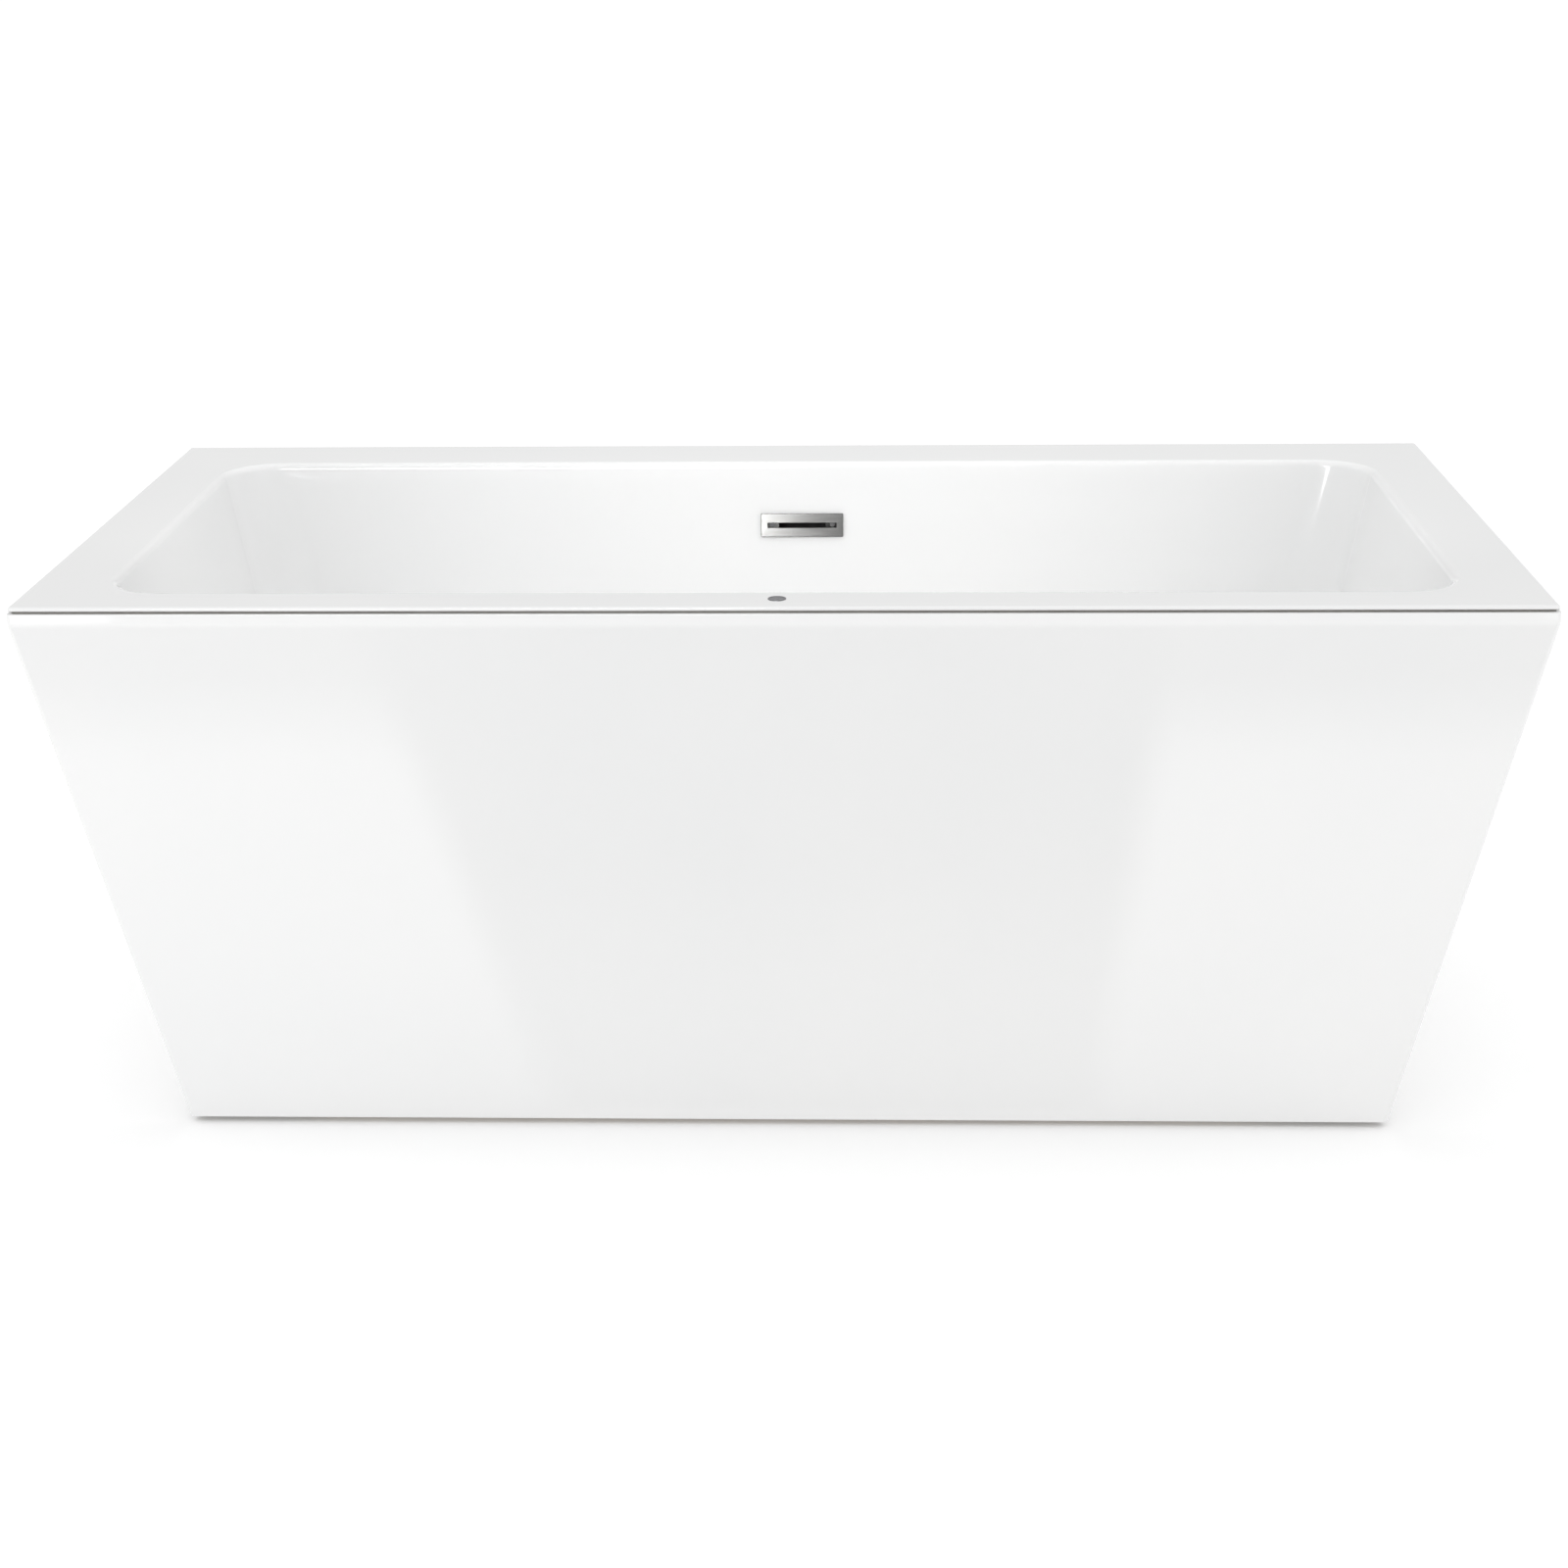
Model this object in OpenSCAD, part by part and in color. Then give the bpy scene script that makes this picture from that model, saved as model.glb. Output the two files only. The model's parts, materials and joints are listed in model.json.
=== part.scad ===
// Rectangular freestanding bathtub: an acrylic basin and an acrylic skirt, each backed with
// fibreglass laminate, on a welded steel frame with four levelling feet, with a click-clack waste
// and a slotted overflow. Millimetres. +X runs along the bath, +Y towards the overflow side and
// +Z up; the origin is on the floor under the centre of the deck.

/* [Body] */
// Overall length of the deck and skirt
bath_l = 1500; // [1400:10:1700]
// Overall width of the deck and skirt
bath_w = 750; // [720:5:850]
// Height of the deck above the floor
bath_h = 585; // [560:5:620]
// How far each end of the skirt leans in, from top to bottom
end_taper = 118; // [100:1:125]
// How far each long side of the skirt leans in, from top to bottom
side_taper = 70; // [50:1:75]
// Clearance between the skirt's lower edge and the floor
skirt_gap = 6; // [6:1:10]
// Radius of the skirt's upright corners
skirt_corner = 5; // [3:0.5:8]

/* [Basin] */
// Width of the deck at each end, up to the basin's wall
end_deck = 80; // [76:1:100]
// Width of the deck on the front side
front_deck = 60; // [58:1:70]
// Width of the deck on the overflow side
back_deck = 100; // [96:1:110]
// Height of the basin's floor above the room's floor
floor_z = 150; // [145:1:155]
// Lean of the end walls
end_draft = 12.5; // [11:0.5:14]
// Lean of the long walls
side_draft = 7; // [6:0.5:8]
// Plan radius of the basin's corners at the deck
corner_top = 60; // [50:1:70]
// Plan radius of the basin's corners at the floor
corner_floor = 74; // [66:1:80]
// Radius between the walls and the floor
floor_fillet = 50; // [40:1:56]
// Rounding of the deck's inner edge
lip_r = 7; // [4:1:9]

/* [Shells] */
// Thickness of the acrylic sheet
sheet_t = 4; // [3:0.5:5]
// Thickness of the fibreglass behind the basin
basin_frp = 3; // [2:0.5:4]
// Thickness of the fibreglass behind the skirt
skirt_frp = 2.5; // [2:0.5:4]
// Height of the open joint between deck and skirt
seam_h = 2.5; // [1.5:0.5:3]

/* [Frame] */
// Side of the square steel tube
tube = 30; // [25:1:30]
// Distance of the feet from the bath's centre, along X
foot_x = 470; // [440:5:490]
// Distance of the feet from the basin's centre line, along Y
foot_y = 228; // [226:1:234]
// Diameter of the levelling studs
stud_d = 12; // [10:1:12]

/* [Waste and overflow] */
// Distance of the waste and the overflow to the right of the bath's centre
waste_x = 7; // [0:1:12]
// Distance of the drain behind the bath's centre
drain_y = 100; // [90:1:104]
// Outside diameter of the tailpiece
tail_d = 38.1; // [38:0.1:38.2]
// Width of the overflow trim
trim_w = 98; // [94:1:104]
// Height of the overflow trim
trim_h = 28; // [26:1:32]
// Depth of the overflow's centre below the deck
trim_drop = 74; // [66:1:90]

/* [Hidden] */
$fn = 64;
EPS = 0.01;
over = 1;                // how far a cutter runs past what it cuts
root = 1;                // how far a bar or spout runs into the wall it grows from

// Film between bonded layers, and the gaps of moving parts, plain threads and pushed-on parts
film = 0.2;
run_gap = 0.3;
thread_gap = 0.15;
push_gap = 0.1;
slip_gap = 0.25;

// Deck
deck_inset = 1.5;        // the deck's edge stands back from the skirt's face
deck_corner = 4;
deck_edge_r = 2.5;
deck_z = bath_h - sheet_t;

// Basin wall, where its plane would meet the deck's top
wall_x = bath_l / 2 - end_deck;
wall_y = (bath_w - front_deck - back_deck) / 2;
basin_cy = (front_deck - back_deck) / 2;
wall_t = sheet_t + film + basin_frp;
frp_edge = 4;            // the laminate stops this far inside the skirt's flange
arc_steps = 10;          // facets to each plan corner
fillet_steps = 7;
lip_steps = 4;

// Badge on the front deck
badge_r = 9;
badge_t = 1.2;
badge_bevel = 0.4;
badge_sink = 0.6;
badge_inset = 31;        // its centre to the deck's front edge

// Skirt
band_h = 12;             // upright band under the joint
skirt_top = deck_z - seam_h;
skirt_edge = 1;          // bevel round the top
flange_w = 26;           // inward flange that carries the deck
flange_cut_h = 40;
skirt_frp_low = 6;       // the laminate starts this far above the skirt's lower edge
seal_inset = 4;
seal_w = 18;

// Stack under the basin
board_t = 15;
shell_z = floor_z - sheet_t;
frp_z = shell_z - film - basin_frp;
board_z = frp_z - board_t;
rail_z = board_z - tube;
tube_wall = 1.5;
board_half = [545, 215];
rail_half_l = 520;
rail_dy = 160;           // rails stand this far in front of and behind the basin's centre line
rail_shift = 15;         // and the back one this much further, clear of the waste
rail_ys = [basin_cy - rail_dy, basin_cy + rail_dy + rail_shift];
cross_xs = [-400, -170, 170, 400];
screw_xs = [-300, -60, 60, 300];

// Wood screws
wood_screw_r = 2.2;
screw_head = [3, 4.4, 2.5];  // outer and inner radius, and height
board_bite = 10;
hanger_screw_l = 14;

// Feet
foot_ys = [basin_cy - foot_y, basin_cy + foot_y];
feet = [for (x = [-foot_x, foot_x], y = foot_ys) [x, y]];
bracket_t = 4;
bracket_w = 50;
bracket_past = 22;       // it runs this far beyond the stud
bracket_lip = 10;
lip_t = 3;
bracket_z = rail_z - bracket_t;
nut_af = 18;
nut_bore = stud_d / 2 + run_gap;
weld_nut_h = 10;
lock_nut_h = 7;
sole_h = 3;
sole_bevel = 1;
pad_r = 25;
pad_rim_h = 4;
pad_cone_h = 8;
socket_r = 13;
socket_top = 21;
ball_r = 7;
ball_z = 12;
stud_top = board_z + 4;
stud_bevel = 1;
spanner_af = 15;
spanner_z = [26, 34];

// Battens and brackets that hold the skirt's lower edge
batten_z = [20, 60];
batten_inner_y = 284;
batten_half_l = 500;
hanger_xs = [-230, 230];
hanger_t = 3;
hanger_w = 30;
hanger_screw_dx = 8;
hanger_screw_zs = [30, 50];

// Waste, from the top down
barrel_r = 24;
barrel_bore = 20;
barrel_z = 88;
barrel_hole_r = barrel_r + 1;
dish_r = 36;
dish_h = 1.5;
board_hole_r = dish_r + 2;
gasket_h = 1;
flange_r = 35;
flange_z = floor_z - dish_h + gasket_h;
flange_h = 3;
flange_rim = 1;          // upright edge, below a bevel of flange_bevel
flange_bevel = 2;
flange_top = flange_z + flange_h;
seat_r = [29, 24];       // outer and inner radius of the seal's conical seat
seat_drop = 1.5;
funnel_drop = 6.5;
cross_bar = [100, 108];
bar_w = 4;
boss_r = 9;
clamp_r = 34;
washer_h = 4;
lock_ring_h = 10;
ring_grips = 8;
ring_grip = [3, 8];      // depth and width of a grip
tee_r = 29;
tee_top = 122;
tee_z = 56;
tee_bore = 22;
tee_floor = 3;
outlet_r = 24;
outlet_z = 42;
inlet_z = 74;
inlet_l = 75;
inlet_r = 16;
inlet_bore = 13;
tail_r = tail_d / 2;
tail_wall = 2;
tail_end = 12;
tail_shoulder = 33;      // a neck above this shoulder goes into the tee
tail_neck_r = tail_r - 0.6;
tail_top = tee_z - 1;
slip_lip = [34, 38];
slip_nut_r = 30;
slip_nut_h = 20;
slip_grips = 12;
slip_grip_r = 3;

// Click-clack stopper
cap_r = 31;
cap_rim_h = 3;
cap_rise = 3.6;
cap_dome_r = 140;
cap_socket_h = 1;
cartridge_r = 7.5;
cartridge_thread_r = 5;
cartridge_bore = 5.2;
cartridge_low = 96;
cartridge_top = 142;
cartridge_lid = 2;
spring_z = [111, 124];
spring_turns = 5;
spring_wire = 0.5;
stem_r = 4;
stem_head_h = 3;
seal_h = 3;
seal_edge = [1.5, 0.4];  // how far the seal's upper edge stands in from the seat, and its height
seal_foot = [2, 1.4];    // how far its cone runs in below the seat, and where the cone starts

// Overflow
trim_t = 3.5;
trim_face_t = 2.5;
slot = [82, 6];
tray = [86, 12];
tray_depth = 9;
tray_wall = 1.5;
tray_floor = 2;
tray_drain = [56, 8];
tray_hole = [tray[0] + 1, tray[1] + 1];
post_x = 36;
post_r = 4;
trim_screw_r = 1.8;
trim_screw_l = 14;
trim_head = [2.9, 2.5];  // radius and height
gasket_t = 2;
gasket = [104, 30];
housing_flange = [110, 36];
housing_box = [100, 28];
housing_wall = 3;
housing_d = 50;
spout_y = 40;
spout_l = 45;

// Overflow hose
hose_r = 18.5;
hose_sides = 24;
hose_bore = (inlet_r + push_gap) / cos(180 / hose_sides);
hose_grip = 24;          // length pushed over each spout
hose_free_l = 10;        // straight length past the upper spout
hose_fall_steps = 10;
hose_bend = 75;
hose_bend_steps = 12;
clamp_w = 9;
clamp_t = 1;
clamp_inset = 6;
clamp_screw = [5, 10];   // how far the screw's housing stands out, and its width

// ---------- Outlines and lofts ----------

// Points of a rectangle with round corners, counter-clockwise, centred on [0, cy]
function round_outline(hx, hy, r, cy, steps) = [
    for (corner = [[1, -1, -90], [1, 1, 0], [-1, 1, 90], [-1, -1, 180]], i = [0:steps])
        let (a = corner[2] + 90 * i / steps)
        [corner[0] * (hx - r) + r * cos(a), cy + corner[1] * (hy - r) + r * sin(a)]
];

// A solid through a stack of round-cornered sections, each [z, half length, half width, corner]
module loft(sections, cy = 0, steps = arc_steps) {
    n = 4 * (steps + 1);
    m = len(sections);
    points = [
        for (s = sections, p = round_outline(s[1], s[2], s[3], cy, steps)) [p[0], p[1], s[0]]
    ];
    faces = concat(
        [[for (i = [0:n - 1]) i]],
        [for (k = [0:m - 2], i = [0:n - 1])
            let (a = k * n + i, b = k * n + (i + 1) % n) each [[a, a + n, b + n], [a, b + n, b]]],
        [[for (i = [n - 1:-1:0]) (m - 1) * n + i]]
    );
    polyhedron(points, faces, convexity = 6);
}

module round_plate(hx, hy, r, cy = 0) {
    translate([-hx, cy - hy + r]) square([2 * hx, 2 * (hy - r)]);
    translate([-hx + r, cy - hy]) square([2 * (hx - r), 2 * hy]);
    for (sx = [-1, 1], sy = [-1, 1]) translate([sx * (hx - r), cy + sy * (hy - r)]) circle(r);
}

module ring(outer, inner, h) {
    difference() {
        cylinder(r = outer, h = h);
        translate([0, 0, -over]) cylinder(r = inner, h = h + 2 * over);
    }
}

module hex(af, h) cylinder(r = af / sqrt(3), h = h, $fn = 6);

// Half size at height z of a wall that leans by draft and meets its floor in a fillet of radius r
function wall_half(z, top, draft, r, base) =
    let (
        zc = base + r,
        xc = top - (bath_h - zc) * tan(draft) - r / cos(draft)
    )
    z < zc - r * sin(draft) ? xc + sqrt(max(0, r * r - (zc - z) * (zc - z)))
                            : top - (bath_h - z) * tan(draft);

// Section of the basin's surface, moved out by t
function basin_section(z, t) =
    let (
        base = floor_z - t,
        r = floor_fillet + t,
        hx = wall_half(z, wall_x + t / cos(end_draft), end_draft, r, base),
        hy = wall_half(z, wall_y + t / cos(side_draft), side_draft, r, base),
        lean = wall_y + t / cos(side_draft) - (bath_h - z) * tan(side_draft) - hy,
        mix = (bath_h - z) / (bath_h - base)
    )
    [z, hx, hy, corner_top * (1 - mix) + corner_floor * mix + t - lean];

function basin_sections(t) = concat(
    [for (i = [0:fillet_steps])
        let (r = floor_fillet + t)
        basin_section(floor_z - t + r * (1 - cos(90 * i / fillet_steps)), t)],
    [basin_section(bath_h, t)]
);

// The rounded inner edge of the deck, as a flare cut above the basin's wall
function lip_sections() = [
    for (i = [0:lip_steps])
        let (a = 90 * i / lip_steps, out = lip_r * (1 - cos(a)), s = basin_section(bath_h, 0))
        [bath_h - lip_r + lip_r * sin(a), s[1] - (lip_r - lip_r * sin(a)) * tan(end_draft) + out,
            s[2] - (lip_r - lip_r * sin(a)) * tan(side_draft) + out, s[3] + out]
];

// Skirt surface at height z, moved in by t
function skirt_half_x(z, t) =
    bath_l / 2 - t - end_taper * max(0, skirt_top - band_h - z) / (skirt_top - band_h - skirt_gap);
function skirt_half_y(z, t) =
    bath_w / 2 - t - side_taper * max(0, skirt_top - band_h - z) / (skirt_top - band_h - skirt_gap);
function skirt_section(z, t) =
    [z, skirt_half_x(z, t), skirt_half_y(z, t), max(1, skirt_corner - t)];

// ---------- Shells ----------

module deck_blank() {
    hx = bath_l / 2 - deck_inset;
    hy = bath_w / 2 - deck_inset;
    loft(concat(
        [[deck_z, hx, hy, deck_corner]],
        [for (i = [0:lip_steps])
            let (a = 90 * i / lip_steps, back = deck_edge_r * (1 - cos(a)))
            [bath_h - deck_edge_r * (1 - sin(a)), hx - back, hy - back, deck_corner - back]]
    ));
}

module basin_shell() {
    color("white") difference() {
        union() {
            deck_blank();
            loft([for (s = basin_sections(sheet_t)) if (s[0] < bath_h) s,
                basin_section(bath_h - EPS, sheet_t)], basin_cy);
        }
        loft(concat(basin_sections(0), [[bath_h + over, wall_x, wall_y, corner_top]]), basin_cy);
        loft(concat(lip_sections(),
            [[bath_h + over, wall_x + lip_r, wall_y + lip_r, corner_top + lip_r]]), basin_cy);
        at_drain() {
            translate([0, 0, floor_z - dish_h]) cylinder(r = dish_r, h = dish_h + over);
            cylinder(r = barrel_hole_r, h = floor_z);
        }
        wall_slot();
        at_badge() cylinder(r = badge_r + push_gap, h = badge_t);
    }
}

module basin_laminate() {
    inset = flange_w + frp_edge;
    color("wheat") difference() {
        union() {
            translate([0, 0, deck_z - film - basin_frp]) linear_extrude(basin_frp)
                round_plate(bath_l / 2 - inset, bath_w / 2 - inset, deck_corner);
            loft([for (s = basin_sections(wall_t)) if (s[0] < bath_h) s,
                basin_section(deck_z - film, wall_t)], basin_cy);
        }
        loft(basin_sections(sheet_t + film), basin_cy);
        at_drain() cylinder(r = barrel_hole_r, h = floor_z);
        wall_slot();
    }
}

module skirt_shell() {
    band_z = skirt_top - band_h;
    color("white") difference() {
        loft([
            skirt_section(skirt_gap, 0), skirt_section(band_z, 0),
            skirt_section(skirt_top - skirt_edge, 0), skirt_section(skirt_top, skirt_edge)
        ]);
        loft([
            skirt_section(skirt_gap - over, sheet_t), skirt_section(band_z, sheet_t),
            skirt_section(skirt_top - sheet_t, sheet_t)
        ]);
        flange_opening();
    }
}

module skirt_laminate() {
    outer = sheet_t + film;
    inner = outer + skirt_frp;
    low = skirt_gap + skirt_frp_low;
    band_z = skirt_top - band_h;
    top = skirt_top - outer;
    color("wheat") difference() {
        loft([skirt_section(low, outer), skirt_section(band_z, outer), skirt_section(top, outer)]);
        loft([
            skirt_section(low - over, inner), skirt_section(band_z, inner),
            skirt_section(top - skirt_frp, inner)
        ]);
        flange_opening();
    }
}

module flange_opening() {
    translate([0, 0, skirt_top - flange_cut_h]) linear_extrude(flange_cut_h + over)
        round_plate(bath_l / 2 - flange_w, bath_w / 2 - flange_w, deck_corner);
}

module rim_seal() {
    inner = seal_inset + seal_w;
    color("gray") translate([0, 0, skirt_top]) linear_extrude(seam_h) difference() {
        round_plate(bath_l / 2 - seal_inset, bath_w / 2 - seal_inset, deck_corner);
        round_plate(bath_l / 2 - inner, bath_w / 2 - inner, deck_corner);
    }
}

module at_badge() translate([0, badge_inset - bath_w / 2, bath_h - badge_sink]) children();

module rim_badge() {
    straight = badge_t - badge_bevel;
    color("silver") at_badge() {
        cylinder(r = badge_r, h = straight);
        translate([0, 0, straight]) cylinder(r1 = badge_r, r2 = badge_r - badge_bevel, h = badge_bevel);
    }
}

// ---------- Base ----------

module at_feet() for (f = feet) translate([f[0], f[1], 0]) children();

// Local +Z points up, from the rails' lower face into the board
module board_screw_places() {
    for (x = screw_xs, y = rail_ys) translate([x, y, rail_z]) children();
}

// A hole from just in front of the surface at z = 0
module screw_hole(l) translate([0, 0, -over]) cylinder(r = wood_screw_r, h = l + over);

module wood_screw(l) {
    translate([0, 0, -screw_head[2]]) cylinder(r1 = screw_head[0], r2 = screw_head[1], h = screw_head[2]);
    translate([0, 0, -EPS]) cylinder(r = wood_screw_r - push_gap, h = l);
}

module base_board() {
    color("burlywood") difference() {
        translate([-board_half[0], basin_cy - board_half[1], board_z])
            cube([2 * board_half[0], 2 * board_half[1], board_t]);
        at_drain() translate([0, 0, board_z - over]) cylinder(r = board_hole_r, h = board_t + 2 * over);
        board_screw_places() screw_hole(tube + board_bite + over);
    }
}

module board_screws() color("silver") board_screw_places() wood_screw(tube + board_bite);

module square_tube(l) {
    bore = tube - 2 * tube_wall;
    difference() {
        translate([-l / 2, -tube / 2, 0]) cube([l, tube, tube]);
        translate([-l / 2 - over, -bore / 2, tube_wall]) cube([l + 2 * over, bore, bore]);
    }
}

module rail(y) {
    color("lightgray") difference() {
        translate([0, y, rail_z]) square_tube(2 * rail_half_l);
        board_screw_places() screw_hole(tube + over);
    }
}

module cross_rail(i) {
    gap = rail_ys[1] - rail_ys[0] - tube;
    color("lightgray") translate([cross_xs[i], (rail_ys[0] + rail_ys[1]) / 2, rail_z])
        rotate([0, 0, 90]) square_tube(gap);
}

module foot_brackets() {
    color("lightgray") for (f = feet) {
        side = sign(f[1] - basin_cy);
        inner_y = (side < 0 ? rail_ys[0] : rail_ys[1]) - side * tube / 2;
        reach = abs(f[1] - inner_y) + bracket_past;
        difference() {
            translate([f[0] - bracket_w / 2, inner_y - (side < 0 ? reach : 0), bracket_z]) {
                cube([bracket_w, reach, bracket_t]);
                translate([0, side < 0 ? 0 : reach - lip_t, -bracket_lip])
                    cube([bracket_w, lip_t, bracket_lip + EPS]);
            }
            translate([f[0], f[1], bracket_z - over]) cylinder(r = nut_bore, h = bracket_t + 2 * over);
        }
    }
}

module nut(h) {
    difference() {
        hex(nut_af, h);
        translate([0, 0, -over]) cylinder(r = nut_bore, h = h + 2 * over);
    }
}

module weld_nuts() color("silver") at_feet() translate([0, 0, rail_z]) nut(weld_nut_h);

module lock_nuts()
    color("silver") at_feet() translate([0, 0, bracket_z - lock_nut_h]) nut(lock_nut_h);

// ---------- Levelling feet ----------

module foot_sole(i) {
    wide = pad_r + sole_bevel;
    color("dimgray") translate([feet[i][0], feet[i][1], 0]) {
        cylinder(r1 = pad_r, r2 = wide, h = sole_bevel);
        translate([0, 0, sole_bevel]) cylinder(r = wide, h = sole_h - sole_bevel);
    }
}

module foot_pad(i) {
    color("black") translate([feet[i][0], feet[i][1], 0]) difference() {
        rotate_extrude() polygon([
            [0, sole_h], [pad_r, sole_h], [pad_r, sole_h + pad_rim_h],
            [socket_r + 1, sole_h + pad_cone_h], [socket_r, socket_top], [0, socket_top]
        ]);
        translate([0, 0, ball_z]) {
            sphere(r = ball_r + run_gap);
            cylinder(r = stud_d / 2 + 2 * run_gap, h = socket_top - ball_z + over);
        }
    }
}

module foot_stud(i) {
    color("silver") translate([feet[i][0], feet[i][1], 0]) {
        translate([0, 0, ball_z]) sphere(r = ball_r);
        translate([0, 0, ball_z]) cylinder(d = stud_d, h = stud_top - ball_z - stud_bevel);
        translate([0, 0, stud_top - stud_bevel])
            cylinder(d1 = stud_d, d2 = stud_d - 2 * stud_bevel, h = stud_bevel);
        translate([0, 0, spanner_z[0]]) hex(spanner_af, spanner_z[1] - spanner_z[0]);
    }
}

// ---------- Skirt battens and hangers ----------

// Local +Z points out, from the hanger's inner face to the skirt
module hanger_screw_places(side) {
    for (x = hanger_xs, dx = [-1, 1], z = hanger_screw_zs)
        translate([x + dx * hanger_screw_dx, side * (batten_inner_y - hanger_t), z])
            rotate([-side * 90, 0, 0]) children();
}

module batten(side) {
    t = sheet_t + film + skirt_frp + run_gap;
    color("burlywood") difference() {
        translate([-batten_half_l, 0, 0]) rotate([90, 0, 90]) linear_extrude(2 * batten_half_l)
            polygon([
                [side * batten_inner_y, batten_z[0]],
                [side * skirt_half_y(batten_z[0], t), batten_z[0]],
                [side * skirt_half_y(batten_z[1], t), batten_z[1]],
                [side * batten_inner_y, batten_z[1]]
            ]);
        hanger_screw_places(side) screw_hole(hanger_screw_l + over);
    }
}

module skirt_hangers() {
    color("lightgray") for (side = [-1, 1]) {
        rail_in = abs(side < 0 ? rail_ys[0] : rail_ys[1]) - tube / 2;
        leg = batten_inner_y - rail_in;
        difference() {
            for (x = hanger_xs) {
                translate([x - hanger_w / 2, side < 0 ? -batten_inner_y : rail_in, rail_z - hanger_t])
                    cube([hanger_w, leg, hanger_t]);
                translate([x - hanger_w / 2,
                    side < 0 ? -batten_inner_y : batten_inner_y - hanger_t, batten_z[0]])
                    cube([hanger_w, hanger_t, rail_z - batten_z[0]]);
            }
            hanger_screw_places(side) screw_hole(hanger_t + over);
        }
    }
}

module hanger_screws()
    color("silver") for (side = [-1, 1]) hanger_screw_places(side) wood_screw(hanger_screw_l);

// ---------- Waste ----------

module at_drain() translate([waste_x, drain_y, 0]) children();

module drain_flange() {
    bar_h = cross_bar[1] - cross_bar[0];
    color("silver") at_drain() {
        rotate_extrude() polygon([
            [barrel_bore, barrel_z], [barrel_r, barrel_z], [barrel_r, flange_z],
            [flange_r, flange_z], [flange_r, flange_z + flange_rim],
            [flange_r - flange_bevel, flange_top], [seat_r[0], flange_top],
            [seat_r[1], flange_top - seat_drop], [barrel_bore, flange_top - funnel_drop]
        ]);
        difference() {
            translate([0, 0, cross_bar[0]]) {
                for (a = [0, 90]) rotate([0, 0, a]) intersection() {
                    translate([-barrel_r, -bar_w / 2, 0]) cube([2 * barrel_r, bar_w, bar_h]);
                    cylinder(r = barrel_bore + root, h = bar_h);
                }
                cylinder(r = boss_r, h = bar_h);
            }
            translate([0, 0, cross_bar[0] - over])
                cylinder(r = cartridge_thread_r + thread_gap, h = bar_h + 2 * over);
        }
    }
}

module flange_gasket()
    color("dimgray") at_drain() translate([0, 0, floor_z - dish_h])
        ring(flange_r - 1, barrel_r + thread_gap, gasket_h);

module clamp_washer()
    color("dimgray") at_drain() translate([0, 0, frp_z - washer_h])
        ring(clamp_r, barrel_r + thread_gap, washer_h);

module clamp_nut() {
    color("black") at_drain() translate([0, 0, frp_z - washer_h - lock_ring_h]) difference() {
        ring(clamp_r, barrel_r + thread_gap, lock_ring_h);
        for (i = [0:ring_grips - 1]) rotate([0, 0, i * 360 / ring_grips])
            translate([clamp_r - ring_grip[0], -ring_grip[1] / 2, -over])
                cube([2 * ring_grip[0], ring_grip[1], lock_ring_h + 2 * over]);
    }
}

module waste_tee() {
    color("black") at_drain() difference() {
        union() {
            translate([0, 0, tee_z]) cylinder(r = tee_r, h = tee_top - tee_z);
            translate([0, 0, outlet_z]) cylinder(r = outlet_r, h = tee_z - outlet_z + root);
            translate([0, 0, inlet_z]) rotate([-90, 0, 0]) cylinder(r = inlet_r, h = inlet_l);
        }
        translate([0, 0, barrel_z]) cylinder(r = barrel_r + thread_gap, h = tee_top - barrel_z + over);
        translate([0, 0, tee_z + tee_floor]) cylinder(r = tee_bore, h = barrel_z - tee_z);
        translate([0, 0, outlet_z - over])
            cylinder(r = tail_neck_r + slip_gap, h = tee_z + tee_floor - outlet_z + 2 * over);
        translate([0, 0, inlet_z]) rotate([-90, 0, 0]) cylinder(r = inlet_bore, h = inlet_l + over);
    }
}

module tailpiece() {
    color("silver") at_drain() rotate_extrude() polygon([
        [tail_r - tail_wall, tail_end], [tail_r, tail_end], [tail_r, tail_shoulder],
        [tail_neck_r, tail_shoulder], [tail_neck_r, tail_top], [tail_r - tail_wall, tail_top]
    ]);
}

module slip_washer()
    color("dimgray") at_drain() translate([0, 0, slip_lip[1]])
        ring(outlet_r - push_gap, tail_neck_r + push_gap, outlet_z - slip_lip[1]);

module slip_nut() {
    color("black") at_drain() difference() {
        translate([0, 0, slip_lip[0]]) cylinder(r = slip_nut_r, h = slip_nut_h);
        translate([0, 0, slip_lip[1]]) cylinder(r = outlet_r + thread_gap, h = slip_nut_h);
        translate([0, 0, slip_lip[0] - over])
            cylinder(r = tail_neck_r + slip_gap, h = slip_lip[1] - slip_lip[0] + 2 * over);
        for (i = [0:slip_grips - 1]) rotate([0, 0, i * 360 / slip_grips])
            translate([slip_nut_r + 1, 0, slip_lip[0] - over])
                cylinder(r = slip_grip_r, h = slip_nut_h + 2 * over);
    }
}

// ---------- Stopper ----------

module stopper_cartridge() {
    lid_z = cartridge_top - cartridge_lid;
    color("goldenrod") at_drain() rotate_extrude() polygon([
        [0, cartridge_low], [cartridge_thread_r, cartridge_low], [cartridge_thread_r, cross_bar[1]],
        [cartridge_r, cross_bar[1]], [cartridge_r, cartridge_top], [stem_r + run_gap, cartridge_top],
        [stem_r + run_gap, lid_z], [cartridge_bore, lid_z],
        [cartridge_bore, spring_z[0]], [0, spring_z[0]]
    ]);
}

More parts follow.
